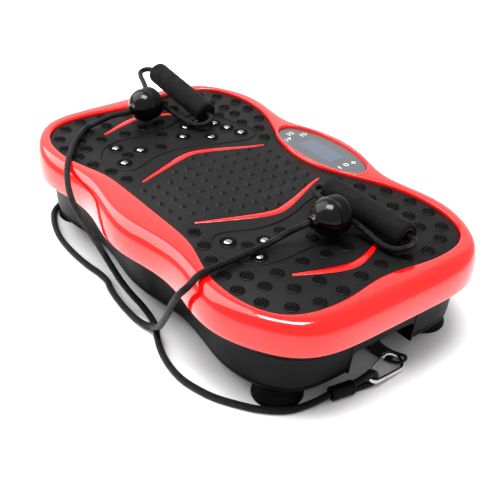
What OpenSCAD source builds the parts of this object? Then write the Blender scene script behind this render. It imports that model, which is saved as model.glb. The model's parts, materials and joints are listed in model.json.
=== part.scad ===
// Vibration plate: a rocking foot deck on a weighted base, with a belt and
// crank drive inside and two elastic bands with foam grips.
// Millimetres, +Z up, +X along the plate, +Y towards the display side.

/* [Deck] */
// Length of the deck, end to end
plate_l = 588; // [540:1:640]
// Mean width of the deck, without its lobes
plate_w = 344; // [330:1:360]
// Height of the red rim above the floor
rim_z = 127; // [120:1:140]
// Height of the skirt's lower edge
skirt_z = 90; // [84:1:96]
// Wall of the moulded covers
wall = 3; // [2:0.5:4]

/* [Mat] */
// Thickness of the rubber mat
mat_t = 4; // [3:0.5:5]
// Depth of the mat's recess in the rim
recess_d = 7.5; // [6:0.5:9]
// Radius of a massage nub
nub_r = 8; // [6:0.5:9]
// Height of a massage nub above the mat
nub_h = 2.5; // [1:0.5:3]

/* [Base] */
// Height of the base's underside
base_z = 22; // [18:1:26]
// Height of the base's upper edge, inside the skirt
base_top = 98; // [94:1:100]
// Height of the arch between the feet at each end
arch_z = 52; // [44:1:56]
// Width of that arch
arch_w = 94; // [60:1:120]

/* [Drive] */
// Height of the rocking axis
pivot_z = 62; // [56:1:66]
// Height of the crank and motor axes
drive_z = 58; // [56:1:60]
// Radius of the motor's pulley
motor_pulley_r = 12; // [10:1:14]
// Radius of the crank's pulley
crank_pulley_r = 26; // [22:1:26]
// Throw of the crank's eccentric
throw = 3; // [1:0.5:3]

/* [Bands] */
// Diameter of an elastic band
band_d = 7.5; // [6:0.5:8]
// Diameter of the cord through a grip
loop_d = 7; // [5:0.5:7]
// Length of a foam grip
grip_l = 128; // [110:1:140]
// Diameter of a foam grip
grip_d = 30; // [26:1:32]

/* [Hidden] */

half_l = plate_l / 2;
half_w = plate_w / 2;
lobe_amp = 6;          // how far the three lobes of a long side swell
lobe_pitch = 190;      // distance between two lobes
ring_n = 72;           // points round an outline
mat_top = rim_z - recess_d + mat_t;
plate_top = rim_z - recess_d;
deck_under = plate_top - wall - 0.5;
floor_z = base_z + wall;
foot_x = 226;
foot_y = 110;
display_x = -1;
display_y = 137.5;
display_a = 81.5;      // half length of the display's opening
display_b = 33;        // half width of it
display_z = rim_z - 4.8;
motor_x = -110;
crank_x = 110;
belt_y = 44;           // middle of the belt's width
belt_w = 12;
running_gap = 0.05;    // radial clearance of a turning shaft
clear = 0.3;           // clearance between parts that don't touch

// ---- outlines -------------------------------------------------------------

// Point of a superellipse in the direction th
function super(th, a, b, n) =
    let (r = pow(pow(abs(cos(th)) / a, n) + pow(abs(sin(th)) / b, n), -1 / n))
    [r * cos(th), r * sin(th)];

// Outline with three lobes on each long side
function lobed(a, b, n) = [
    for (i = [0 : ring_n - 1])
        let (p = super(360 * i / ring_n, a, b, n))
        [p[0], p[1] * (1 + lobe_amp / half_w * cos(360 * p[0] / lobe_pitch))]
];

// Shell outline, moved in by d; a squarer outline keeps the corners' distance
function shell_ring(d) = lobed(half_l - d, half_w - d, 5 + 0.063 * d);

// The same for the rounded upper edge, which is tighter behind the display
function top_ring(d) =
    let (edge = shell_ring(0), inside = shell_ring(d))
    [for (i = [0 : ring_n - 1])
        let (p = inside[i], near = p[1] > 0 ? 0.8 * exp(-pow(p[0] / 80, 4)) : 0)
        p + near * (edge[i] - p)];

// Mat outline, moved in by d: lobes at the four corners, a shallow dent in
// each short end, a slight waist in front and a deep one round the display
mat_a = 265.5;
mat_b = 157;
function mat_waist(x, y) =
    y > 0 ? 58 * exp(-pow(abs(x) / 110, 2.2)) : 29 / (1 + pow(abs(x) / 130, 6));
function mat_ring(d) = [
    for (i = [0 : ring_n - 1])
        let (p = super(360 * i / ring_n, mat_a, mat_b, 5.5),
             dent = 9 * exp(-pow(p[1] / 45, 2)),
             q = [p[0] - sign(p[0]) * dent, p[1] * (1 - mat_waist(p[0], p[1]) / mat_b)])
        q * (1 - d / norm(q))
];

// Ellipse outline
function ellipse(a, b, n = 48) = [for (i = [0 : n - 1]) [a * cos(360 * i / n), b * sin(360 * i / n)]];

// ---- solids from rings ----------------------------------------------------

function lift(ring, z) = [for (p = ring) [p[0], p[1], z]];

// Closed solid through a stack of rings, each with the same number of points
module loft(rings) {
    n = len(rings[0]);
    m = len(rings);
    points = [for (r = rings) for (p = r) p];
    sides = [for (k = [0 : m - 2]) for (i = [0 : n - 1])
        [k * n + i, (k + 1) * n + i, (k + 1) * n + (i + 1) % n, k * n + (i + 1) % n]];
    split = [for (q = sides) for (t = [[q[0], q[1], q[2]], [q[0], q[2], q[3]]]) t];
    polyhedron(points, concat(split, [[for (i = [0 : n - 1]) i]],
        [[for (i = [n - 1 : -1 : 0]) (m - 1) * n + i]]));
}

function unit(v) = v / norm(v);

function tangent(p, i) =
    i == 0 ? unit(p[1] - p[0]) :
    i == len(p) - 1 ? unit(p[i] - p[i - 1]) :
    unit(unit(p[i + 1] - p[i]) + unit(p[i] - p[i - 1]));

// Side vectors carried along a route without twisting
function carried(p, i, side) =
    i == len(p) ? [] :
    let (t = tangent(p, i), s = unit(side - (side * t) * t))
    concat([s], carried(p, i + 1, s));

// Round tube of radius r along the route p
module tube(p, r, sides = 8) {
    first = abs(tangent(p, 0)[2]) < 0.8 ? [0, 0, 1] : [1, 0, 0];
    side = carried(p, 0, first);
    loft([for (i = [len(p) - 1 : -1 : 0])
        let (s = side[i], w = cross(tangent(p, i), s))
        [for (k = [0 : sides - 1]) p[i] + r * (cos(360 * k / sides) * s + sin(360 * k / sides) * w)]]);
}

module tube_along_y(r, y0, y1) {
    translate([0, y0, 0]) rotate([-90, 0, 0]) cylinder(r = r, h = y1 - y0, $fn = 48);
}

module both_ends() {
    children();
    mirror([1, 0, 0]) children();
}

module four_corners(x, y) {
    for (sx = [-1, 1]) for (sy = [-1, 1]) translate([sx * x, sy * y, 0]) children();
}

// ---- base -----------------------------------------------------------------

function base_outer() = [
    lift(lobed(half_l - 31, half_w - 29, 7), base_z),
    lift(lobed(half_l - 27.5, half_w - 25.5, 7), base_z + 3),
    lift(lobed(half_l - 23, half_w - 22, 6.5), 66),
    lift(lobed(half_l - 21, half_w - 20, 6), 70),
    lift(lobed(half_l - 14, half_w - 13.5, 5.3), 76),
    lift(lobed(half_l - 9.5, half_w - 9.5, 5), 84),
    lift(lobed(half_l - 9, half_w - 9, 5), base_top)
];

function base_inner() = [
    lift(lobed(half_l - 31, half_w - 29, 7), floor_z),
    lift(lobed(half_l - 27, half_w - 26, 6.5), 68),
    lift(lobed(half_l - 18, half_w - 17.5, 5.3), 79),
    lift(lobed(half_l - 12.5, half_w - 12.5, 5), base_top + 1)
];

panel_x = -90;         // middle of the flat panel for the inlet and the switch
panel_y = 151;
panel_z = 48;
inlet_x = -108;
switch_x = -70;

// Space left between the feet at an end, grown by g
module arch_space(g) {
    translate([225 - g, -arch_w / 2 - g, base_z - 1])
        cube([80, arch_w + 2 * g, arch_z - base_z + 1 + g]);
}

module base_housing() {
    color([0.05, 0.05, 0.055])
    difference() {
        union() {
            difference() {
                loft(base_outer());
                difference() {
                    loft(base_inner());
                    both_ends() arch_space(wall);
                }
            }
            four_corners(190, 60) translate([0, 0, floor_z - 0.5]) cylinder(r = 14, h = 55.5, $fn = 32);
            translate([panel_x - 38, panel_y - 14, panel_z - 15]) cube([76, 14, 30]);
        }
        both_ends() arch_space(0);
        translate([inlet_x - 14.2, panel_y - 24, panel_z - 10.2]) cube([28.4, 30, 20.4]);
        translate([switch_x - 9.2, panel_y - 24, panel_z - 13.2]) cube([18.4, 30, 26.4]);
        four_corners(foot_x, foot_y) translate([0, 0, base_z - 1]) cylinder(r = 3.3, h = 6, $fn = 32);
        four_corners(90, 45) translate([0, 0, base_z - 1]) cylinder(r = 2.2, h = 6, $fn = 32);
        translate([-80, -38, base_z - 1]) cube([160, 76, wall + 2]);
    }
}

module service_cover() {
    color([0.07, 0.07, 0.075])
    difference() {
        translate([-100, -55, base_z - 2.5]) cube([200, 110, 2.5]);
        four_corners(90, 45) translate([0, 0, base_z - 3]) cylinder(r = 2.2, h = 4, $fn = 32);
    }
}

module cover_screws() {
    color("silver")
    four_corners(90, 45) translate([0, 0, base_z - 4.3]) {
        cylinder(r = 3.8, h = 1.8, $fn = 32);
        translate([0, 0, 1.7]) cylinder(r = 2, h = 7.6, $fn = 32);
    }
}

module base_frame() {
    color([0.35, 0.36, 0.38])
    difference() {
        translate([-175, -122, floor_z]) cube([350, 244, 3]);
        translate([-80, -38, floor_z - 1]) cube([160, 76, 5]);
        four_corners(90, 45) translate([0, 0, floor_z - 1]) cylinder(r = 2.2, h = 5, $fn = 32);
        four_corners(165, 112) translate([0, 0, floor_z - 1]) cylinder(r = 3.2, h = 5, $fn = 32);
    }
}

module frame_bolts() {
    color("silver")
    four_corners(165, 112) translate([0, 0, floor_z]) {
        cylinder(r = 3, h = 3, $fn = 32);
        translate([0, 0, 3]) cylinder(r = 5.5, h = 4, $fn = 6);
    }
}

module suction_feet() {
    color([0.04, 0.04, 0.04])
    four_corners(foot_x, foot_y)
        rotate_extrude($fn = 64)
            polygon([[0, 6], [10, 5], [19, 2.5], [24, 0], [28.5, 0], [28.6, 2], [27, 5], [24, 9],
                     [22.5, 13], [23, 17], [26, base_z], [3.2, base_z], [3.2, 14], [0, 14]]);
}

module foot_bolts() {
    color("silver")
    four_corners(foot_x, foot_y) {
        translate([0, 0, 14]) cylinder(r = 3, h = floor_z - 13.9, $fn = 32);
        translate([0, 0, floor_z]) cylinder(r = 5.8, h = 4.5, $fn = 6);
    }
}

module pivot_blocks() {
    color([0.3, 0.31, 0.33])
    for (s = [-1, 1])
        difference() {
            translate([-24, s * 104 - 8, floor_z + 3]) cube([48, 16, pivot_z - floor_z + 13]);
            translate([0, 0, pivot_z]) tube_along_y(8, s * 104 - 9, s * 104 + 9);
            for (sx = [-1, 1]) translate([sx * 37, s * 104, pivot_z + 16])
                rotate([90, 0, 0]) cylinder(r = 24, h = 20, center = true, $fn = 48);
        }
}

module pivot_shaft() {
    color("silver") translate([0, 0, pivot_z]) tube_along_y(8, -118, 118);
}

module pivot_bushes() {
    color([0.72, 0.53, 0.25])
    for (s = [-1, 1]) translate([0, 0, pivot_z])
        difference() {
            tube_along_y(11, s * 84 - 9, s * 84 + 9);
            tube_along_y(8 + running_gap, s * 84 - 10, s * 84 + 10);
        }
}

module motor() {
    color([0.45, 0.46, 0.48])
    translate([motor_x, 0, drive_z])
        difference() {
            union() {
                tube_along_y(29, -72, 14);
                tube_along_y(13, 14, 19);
            }
            tube_along_y(4 + running_gap, -10, 20);
        }
}

module motor_bracket() {
    color([0.3, 0.31, 0.33])
    for (y = [-60, 0])
        difference() {
            translate([motor_x - 40, y - 6, floor_z + 3]) cube([80, 12, drive_z - floor_z - 6]);
            translate([motor_x, 0, drive_z]) tube_along_y(29, y - 7, y + 7);
        }
}

module motor_rotor() {
    color("silver")
    translate([motor_x, 0, drive_z]) {
        tube_along_y(4, -8, belt_y + 10);
        tube_along_y(motor_pulley_r, belt_y - belt_w / 2 - 1, belt_y + belt_w / 2 + 1);
    }
}

module drive_belt() {
    color([0.08, 0.08, 0.08])
    translate([0, belt_y + belt_w / 2, drive_z]) rotate([90, 0, 0]) linear_extrude(belt_w)
        difference() {
            hull() {
                translate([motor_x, 0]) circle(r = motor_pulley_r + clear + 2.5, $fn = 32);
                translate([crank_x, 0]) circle(r = crank_pulley_r + clear + 2.5, $fn = 48);
            }
            hull() {
                translate([motor_x, 0]) circle(r = motor_pulley_r + clear, $fn = 32);
                translate([crank_x, 0]) circle(r = crank_pulley_r + clear, $fn = 48);
            }
        }
}

module bearing_blocks() {
    color([0.3, 0.31, 0.33])
    for (y = [-66, 66])
        difference() {
            union() {
                translate([crank_x - 22, y - 8, floor_z + 3]) cube([44, 16, drive_z - floor_z - 3]);
                translate([crank_x, 0, drive_z]) tube_along_y(22, y - 8, y + 8);
            }
            translate([crank_x, 0, drive_z]) tube_along_y(8 + running_gap, y - 9, y + 9);
        }
}

module crankshaft() {
    color("silver")
    translate([crank_x, 0, drive_z]) {
        tube_along_y(8, -80, 80);
        translate([0, 0, throw]) tube_along_y(12, -7, 7);
    }
}

module crank_pulley() {
    color([0.6, 0.61, 0.63])
    translate([crank_x, 0, drive_z])
        difference() {
            tube_along_y(crank_pulley_r, belt_y - belt_w / 2 - 1, belt_y + belt_w / 2 + 1);
            tube_along_y(8, belt_y - 10, belt_y + 10);
            for (a = [0 : 60 : 300]) rotate([0, a, 0]) translate([18, 0, 0])
                tube_along_y(5, belt_y - 10, belt_y + 10);
        }
}

// The link's big end is wider than the eccentric by the deck's travel
link_bore = 12 + throw + 3.7;

module connecting_link() {
    color([0.5, 0.51, 0.53])
    difference() {
        union() {
            translate([crank_x, 0, drive_z]) tube_along_y(link_bore + 5, -6, 6);
            translate([crank_x - 11, -6, drive_z + link_bore + 2])
                cube([22, 12, 104 - drive_z - link_bore - 2]);
        }
        translate([crank_x, 0, drive_z]) tube_along_y(link_bore, -7, 7);
    }
}

module rubber_bumpers() {
    color([0.06, 0.06, 0.06])
    four_corners(190, 60) translate([0, 0, floor_z + 55]) cylinder(r = 12, h = 12, $fn = 32);
}

module control_board() {
    color([0.1, 0.35, 0.18])
    translate([-120, 62, floor_z + 3]) {
        for (x = [6, 74]) for (y = [6, 44]) translate([x, y, 0]) cylinder(r = 3, h = 8, $fn = 24);
        translate([0, 0, 8]) cube([80, 50, 1.6]);
        translate([12, 14, 9.5]) cube([22, 26, 16]);
        translate([52, 20, 9.5]) cylinder(r = 8, h = 18, $fn = 32);
    }
}

module power_inlet() {
    color([0.03, 0.03, 0.03])
    difference() {
        union() {
            translate([inlet_x - 14, panel_y - 22, panel_z - 10]) cube([28, 22, 20]);
            translate([inlet_x - 17, panel_y, panel_z - 13]) cube([34, 2, 26]);
        }
        translate([inlet_x - 12, panel_y - 16, panel_z - 7.8]) cube([24, 19, 15.6]);
    }
    color("gold")
    for (x = [-7, 0, 7]) translate([inlet_x + x - 1, panel_y - 16.2, panel_z - 2 + (x == 0 ? 2.5 : 0)])
        cube([2, 14, 4]);
}

module switch_bezel() {
    color([0.04, 0.04, 0.04])
    difference() {
        union() {
            translate([switch_x - 9, panel_y - 20, panel_z - 13]) cube([18, 20, 26]);
            translate([switch_x - 11, panel_y, panel_z - 15]) cube([22, 2, 30]);
        }
        translate([switch_x - 6.3, panel_y - 16, panel_z - 11]) cube([12.6, 19, 22]);
        rocker_axis(1.5 + running_gap, 8);
    }
}

// Round bar of half length h on the rocker's axis
module rocker_axis(r, h) {
    translate([switch_x - h, panel_y - 5, panel_z]) rotate([0, 90, 0]) cylinder(r = r, h = 2 * h, $fn = 24);
}

module switch_rocker() {
    color([0.6, 0.04, 0.04]) {
        translate([switch_x - 6, panel_y - 5, panel_z]) rotate([-8, 0, 0])
            rotate([90, 0, 90]) linear_extrude(12)
                polygon([[6.5, -9.5], [5, 0], [6.5, 9.5], [0, 8.5], [-6, 3], [-6, -3], [0, -8.5]]);
        rocker_axis(1.5, 7.5);
    }
}

// ---- deck -----------------------------------------------------------------

function shell_rings() = [
    lift(shell_ring(14), deck_under),
    lift(shell_ring(8), deck_under - 2),
    lift(shell_ring(4.6), deck_under - 9),
    lift(shell_ring(3.2), skirt_z + 8),
    lift(shell_ring(wall), skirt_z),
    lift(shell_ring(0), skirt_z),
    lift(shell_ring(0.4), skirt_z + 9),
    lift(top_ring(1.8), skirt_z + 19),
    lift(top_ring(4.8), skirt_z + 28),
    lift(top_ring(8.5), rim_z - 3.7),
    lift(top_ring(13), rim_z - 1),
    lift(top_ring(18), rim_z),
    lift(mat_ring(0), rim_z),
    lift(mat_ring(0), rim_z - recess_d)
];

module at_display() {
    translate([display_x, display_y, 0]) children();
}

module top_shell() {
    color([0.85, 0.03, 0.03])
    difference() {
        loft(shell_rings());
        at_display() translate([0, 0, display_z]) linear_extrude(10)
            polygon(ellipse(display_a, display_b));
        at_display() translate([-51, -14, deck_under - 1]) cube([102, 28, 10]);
    }
}

// Slots of the right half, where the red shell shows through the mat: x, y
// and width along each
inner_slot = [[56, 84, 3], [62, 66, 5], [70, 48, 6.2], [79.5, 26, 7.2], [87, 6, 9.2], [89.5, -8, 9.8],
              [87, -24, 9.6], [79, -47, 7.8], [71.5, -66, 6.8], [64, -85, 5.2], [57, -102, 3]];
outer_slot = [[203, 44, 4.5], [208.5, 33, 6.4], [215, 18, 7.6], [219.5, 4, 9.6], [221.5, -9, 10.4],
              [219.5, -24, 10], [213, -43, 8], [205, -62, 6.4], [199, -76, 4]];

// Bowed outline of a slot
module bowed(line) {
    n = len(line);
    spots = [for (p = line) [p[0], p[1]]];
    function across(i) = let (t = tangent(spots, i)) [-t[1], t[0]];
    polygon(concat(
        [for (i = [0 : n - 1]) spots[i] - line[i][2] / 2 * across(i)],
        [for (i = [n - 1 : -1 : 0]) spots[i] + line[i][2] / 2 * across(i)]));
}

// Massage nubs of the right half; the left half mirrors them
nubs = [
    [73, 99], [101, 111], [129, 102], [127, 131], [158, 111], [161, 137], [184, 111], [191, 137],
    [166, 89], [208, 103], [222, 125], [239, 104], [248, 75], [245, 45], [221, 48], [238, 13],
    [193, 6], [242, -19], [190, -22], [186, -52], [223, -60], [250, -52], [188, -87], [219, -90],
    [252, -84], [242, -112], [199, -112], [174, -116], [160, -135], [189, -139], [219, -132],
    [130, -130], [102, -120], [74, -114], [125, -33], [129, -81], [156, -13]
];

// Magnet bosses of the right foot area
magnets = [
    [112, -95], [132, -60], [154, -84], [135, 8], [113, 39], [103, 81], [126, 74], [147, 67],
    [158, 27], [162, 51]
];

// Rows of small pyramids across the middle, from the display side down
grip_rows = [2, 3, 3, 3, 4, 4, 3, 3, 2, 2, 2];
grip_pitch = 19;

module massage_mat() {
    color([0.06, 0.06, 0.065]) {
        difference() {
            translate([0, 0, mat_top - mat_t]) linear_extrude(mat_t)
                difference() {
                    polygon(mat_ring(0.6));
                    both_ends() {
                        bowed(inner_slot);
                        bowed(outer_slot);
                    }
                }
            both_ends() for (p = magnets) translate([p[0], p[1], mat_top - 2])
                cylinder(r = 5.6, h = 5, $fn = 24);
        }
        both_ends() for (p = nubs) translate([p[0], p[1], mat_top - 0.5])
            cylinder(r = nub_r, h = nub_h + 0.5, $fn = 24);
        both_ends() for (p = magnets) translate([p[0], p[1], mat_top - 0.5])
            difference() {
                cylinder(r = 9.5, h = 2.5, $fn = 24);
                translate([0, 0, -1]) cylinder(r = 5.6, h = 5, $fn = 24);
            }
        for (j = [0 : 10]) for (i = [-grip_rows[j] : grip_rows[j]])
            translate([i * grip_pitch, (78 - j * grip_pitch), mat_top - 0.5])
                rotate(45) cylinder(r1 = 6.2, r2 = 0.9, h = 2.8, $fn = 4);
    }
}

module magnet_studs() {
    color([0.9, 0.9, 0.92])
    both_ends() for (p = magnets) translate([p[0], p[1], mat_top - 2])
        rotate_extrude($fn = 32)
            polygon([[0, 0], [5.5, 0], [5.5, 2.6], [4.6, 3.6], [2.6, 4.3], [0, 4.5]]);
}

module deck_frame() {
    color([0.3, 0.31, 0.33])
    difference() {
        union() {
            for (s = [-1, 1]) {
                translate([-220, s * 84 - 10, 104]) cube([440, 20, deck_under - 104]);
                translate([-16, s * 84 - 8, pivot_z]) cube([32, 16, 43]);
                translate([0, 0, pivot_z]) tube_along_y(16, s * 84 - 8, s * 84 + 8);
            }
            for (x = [-150, crank_x, 190]) translate([x - 12, -80, 104]) cube([24, 160, deck_under - 104]);
        }
        for (s = [-1, 1]) translate([0, 0, pivot_z]) tube_along_y(11, s * 84 - 10, s * 84 + 10);
        four_corners(205, 84) translate([0, 0, 103]) cylinder(r = 2.2, h = 14, $fn = 24);
        four_corners(60, 84) translate([0, 0, 103]) cylinder(r = 2.2, h = 14, $fn = 24);
    }
}

module deck_screws() {
    color("silver")
    for (x = [60, 205]) four_corners(x, 84) {
        translate([0, 0, 101.8]) cylinder(r = 4, h = 2.2, $fn = 24);
        translate([0, 0, 103.9]) cylinder(r = 2, h = deck_under - 103.9, $fn = 24);
    }
}

module display_lens() {
    color([0.35, 0.4, 0.45])
    at_display() translate([0, 0, display_z + 0.1]) linear_extrude(0.9)
        polygon(ellipse(display_a - 1.1, display_b - 1.2));
}

module display_board() {
    color([0.1, 0.35, 0.18])
    at_display() {
        translate([-48, -12, display_z - 3]) cube([96, 24, 1.6]);
        translate([-30, -11, display_z - 1.5]) cube([60, 22, 1.5]);
    }
}

// ---- straps, carabiners and sleeves at the two ends -----------------------

// Side view of a strap: it hangs down the arch's inner wall and runs out
strap_line = [[1.6, 48], [1.6, 22], [2.6, 13], [6, 6], [11, 2.6], [18, 1.7], [28, 1.7], [35, 3], [50, 7.4]];
strap_t = 2.5;
strap_w = 20;
strap_foot = [227.6, 24];
strap_turn = 11.5;
strap_eye = 39.5;

function side_of(p, i) = let (t = tangent(p, i)) [-t[1], t[0]];

module strap() {
    n = len(strap_line);
    edge = concat(
        [for (i = [0 : n - 1]) strap_line[i] + strap_t / 2 * side_of(strap_line, i)],
        [for (i = [n - 1 : -1 : 0]) strap_line[i] - strap_t / 2 * side_of(strap_line, i)]);
    translate([strap_foot[0], strap_foot[1], 0]) rotate([0, 0, strap_turn])
        difference() {
            intersection() {
                translate([0, strap_w / 2, 0]) rotate([90, 0, 0]) linear_extrude(strap_w) polygon(edge);
                union() {
                    translate([-2, -strap_w / 2, 0]) cube([strap_eye + 2, strap_w, 60]);
                    translate([strap_eye, 0, 0]) cylinder(r = strap_w / 2, h = 60, $fn = 48);
                }
            }
            translate([strap_eye, 0, -1]) cylinder(r = 6.6, h = 20, $fn = 32);
        }
}

module strap_right() { color([0.05, 0.05, 0.05]) strap(); }
module strap_left() { color([0.05, 0.05, 0.05]) mirror([1, 0, 0]) strap(); }

module strap_clamps() {
    color([0.5, 0.5, 0.52])
    both_ends() difference() {
        translate([strap_foot[0], strap_foot[1], 0]) rotate([0, 0, strap_turn])
            difference() {
                union() {
                    translate([2.95, -14, 34]) cube([2, 28, 13]);
                    for (s = [-1, 1]) translate([-8, s * 12.2 - 1.8, 34]) cube([11, 3.6, 13]);
                }
                for (y = [-12, 12]) translate([0, y, 40.5]) rotate([0, 90, 0])
                    cylinder(r = 1.7, h = 8, $fn = 24);
            }
        translate([200, -20, 30]) cube([25, 80, 20]);
    }
}

module strap_screws() {
    color("silver")
    both_ends() translate([strap_foot[0], strap_foot[1], 0]) rotate([0, 0, strap_turn])
        for (y = [-12, 12]) translate([2.95, y, 40.5]) rotate([0, 90, 0]) {
            cylinder(r = 1.5, h = 2.05, $fn = 24);
            translate([0, 0, 2.05]) cylinder(r = 2.7, h = 1.8, $fn = 24);
        }
}

wire_r = 2.5;
tip_r = 12;            // wide end of the carabiner, at the strap
tail_r = 7;            // narrow end, in the band's eye
tip_x = 16.5;
tail_x = -21.5;
lean = asin((tip_r - tail_r) / (tip_x - tail_x));
side_l = (tip_x - tail_x) * cos(lean);
gate_pin = 7.6;        // from the narrow end's tangent point to the gate's pin

// A carabiner's own frame: +X to the strap, +Y to the gate, tilted to lie
// between the strap's eye and the band's eye
module carabiner_place() {
    translate([271.6, 4, 7.8]) rotate([0, 0, 101.2]) rotate([14, 5, 0]) children();
}

// Frame along the gate's side, starting at the narrow end
module gate_place() {
    translate([tail_x - tail_r * sin(lean), tail_r * cos(lean), 0])
        rotate([0, 0, lean]) rotate([0, 90, 0]) children();
}

// Points along the wire, from the hook at the hinge, round the tail and the
// tip, to the hook at the gate's nose
function on_arc(x, r, from, to, steps) =
    [for (i = [0 : steps]) let (t = from + (to - from) * i / steps) [x + r * cos(t), r * sin(t), 0]];
wire_line = concat(
    [[tail_x - tail_r * sin(lean) + 4.5 * cos(lean), tail_r * cos(lean) + 4.5 * sin(lean), 0]],
    on_arc(tail_x, tail_r, 90 + lean, 270 - lean, 10),
    on_arc(tip_x, tip_r, lean - 90, 90 + lean, 14),
    [[tip_x - tip_r * sin(lean) - 4 * cos(lean), tip_r * cos(lean) - 4 * sin(lean), 0]]);

module carabiner() {
    color([0.85, 0.86, 0.88]) tube(wire_line, wire_r, 12);
}

module gate() {
    color([0.8, 0.81, 0.83])
    gate_place() {
        translate([0, 0, 6.4]) cylinder(r = 2.3, h = side_l - 10.8, $fn = 24);
        translate([0, 0, gate_pin]) rotate([0, 90, 0]) cylinder(r = 1.3, h = 6.4, center = true, $fn = 24);
    }
}

module carabiner_right() { carabiner_place() carabiner(); }
module carabiner_left() { mirror([1, 0, 0]) carabiner_place() carabiner(); }
module gate_right() { carabiner_place() gate(); }
module gate_left() { mirror([1, 0, 0]) carabiner_place() gate(); }

// Sleeve that closes the band's eye, and the eye's route in the sleeve's frame
sleeve_at = [268.4, -72.5];
sleeve_turn = 79.6;
sleeve_l = 28;
eye_line = [[0, 4.2], [8, 4], [16, 3.9], [21, 3.9], [26.2, 6.1], [28.4, 11.3], [26.2, 16.5],
            [21, 18.7], [14.5, 16.5], [7, 13.2], [0, 12]];

module sleeve_place() {
    translate([sleeve_at[0], sleeve_at[1], 0]) rotate([0, 0, sleeve_turn]) children();
}

module crimp_sleeve() {
    color([0.04, 0.04, 0.04])
    sleeve_place() translate([0, 0, 8.2]) rotate([0, 90, 0]) cylinder(r = 8, h = sleeve_l, $fn = 48);
}

module crimp_sleeve_right() { crimp_sleeve(); }
module crimp_sleeve_left() { mirror([1, 0, 0]) crimp_sleeve(); }

module band_eye() {
    color([0.06, 0.06, 0.06])
    sleeve_place() tube([for (p = eye_line) [sleeve_l + p[0] + 0.2, 0, p[1] + 0.1]], band_d / 2);
}

module band_eye_right() { band_eye(); }
module band_eye_left() { mirror([1, 0, 0]) band_eye(); }

// ---- handles --------------------------------------------------------------

ball_r = 22.5;
cap_l = 17;
collar_l = 3.5;
ball_z = 150;
left_ball = [-202, -10, ball_z];
left_turn = 103.3;
right_ball = [165, 3, ball_z];
right_turn = 85;

// Holes of the two strands in each cap: down from the axis, and across it
left_holes = [[4, -8], [-2, 8]];
right_holes = [[6, -8], [3, 8]];

// A stopper's own frame: +Z from the band's side to the grip's side, +X down
module stopper_place(at, turn) {
    translate(at) rotate([0, 0, turn]) rotate([0, 90, 0]) children();
}

module stopper_shell() {
    color([0.03, 0.03, 0.03])
    difference() {
        union() {
            intersection() {
                sphere(r = ball_r, $fn = 64);
                translate([-30, -30, -30]) cube([60, 60, 30]);
            }
            translate([0, 0, -ball_r - collar_l]) cylinder(r = 6.5, h = 6, $fn = 32);
        }
        intersection() {
            sphere(r = ball_r - wall, $fn = 64);
            translate([-30, -30, -30]) cube([60, 60, 31]);
        }
        translate([0, 0, -30]) cylinder(r = 3, h = 20, $fn = 32);
    }
}

module stopper_cap(holes) {
    color([0.05, 0.05, 0.05])
    difference() {
        rotate_extrude($fn = 64)
            polygon([[0, 0], [ball_r - 0.7, 0], [ball_r - 0.5, cap_l - 4], [ball_r - 1.8, cap_l - 1.2],
                     [ball_r - 4.5, cap_l], [0, cap_l]]);
        translate([0, 0, -1]) cylinder(r = ball_r - wall - 0.5, h = cap_l - 2, $fn = 48);
        for (p = holes) translate([p[0], p[1], 1]) cylinder(r = 3.7, h = 30, $fn = 24);
    }
}

module stopper_knot() {
    color([0.06, 0.06, 0.06]) translate([0, 0, -11]) sphere(r = 8.5, $fn = 32);
}

module stopper_shell_left() { stopper_place(left_ball, left_turn) stopper_shell(); }
module stopper_cap_left() { stopper_place(left_ball, left_turn) stopper_cap(left_holes); }
module stopper_knot_left() { stopper_place(left_ball, left_turn) stopper_knot(); }
module stopper_shell_right() { stopper_place(right_ball, right_turn) stopper_shell(); }
module stopper_cap_right() { stopper_place(right_ball, right_turn) stopper_cap(right_holes); }
module stopper_knot_right() { stopper_place(right_ball, right_turn) stopper_knot(); }

right_grip = [170, 55.5, 141.6];
left_grip = [-210, 55, 150.5];
left_rise = 8;         // degrees by which the left grip leans up at its far end

module foam() {
    color([0.07, 0.07, 0.07])
    translate([-grip_l / 2, 0, 0]) rotate([0, 90, 0])
        rotate_extrude($fn = 48)
            polygon([[9, 0], [grip_d / 2 - 3.5, 0], [grip_d / 2 - 1, 1], [grip_d / 2, 3.5],
                     [grip_d / 2, grip_l - 3.5], [grip_d / 2 - 1, grip_l - 1],
                     [grip_d / 2 - 3.5, grip_l], [9, grip_l]]);
}

module core() {
    color([0.1, 0.1, 0.1])
    translate([-grip_l / 2 + 0.5, 0, 0]) rotate([0, 90, 0])
        difference() {
            cylinder(r = 9, h = grip_l - 1, $fn = 48);
            translate([0, 0, -1]) cylinder(r = 7, h = grip_l + 2, $fn = 48);
        }
}

module grip_foam_right() { translate(right_grip) foam(); }
module grip_core_right() { translate(right_grip) core(); }
module grip_foam_left() { translate(left_grip) rotate([0, left_rise, 0]) foam(); }
module grip_core_left() { translate(left_grip) rotate([0, left_rise, 0]) core(); }

// ---- cords ----------------------------------------------------------------

// Cord from the right stopper through the right grip and back
right_loop = [
    [174.5, 19.6, 144], [175, 23, 143.6], [178, 28, 141], [186, 32, 136.4], [198, 33.5, 133.2],
    [212, 34, 130.5], [224, 34.5, 130.5], [234, 36.5, 132.2], [243, 41, 136], [247, 48, 140],
    [244.5, 54, 142], [239, 55.5, 141.6], [230, 55.5, 141.6], [201, 55.5, 141.6], [170, 55.5, 141.6],
    [139, 55.5, 141.6], [110, 55.5, 141.6], [104, 55.5, 141.6], [99, 54, 141.4], [95, 49, 141],
    [95.5, 42, 140.5], [100, 36.5, 140.2], [108, 34, 140.3], [118, 33, 140.8], [130, 33.5, 141.6],
    [142, 32, 143], [152, 28.5, 145], [157.5, 25, 146.6], [158.6, 21, 147]
];

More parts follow.
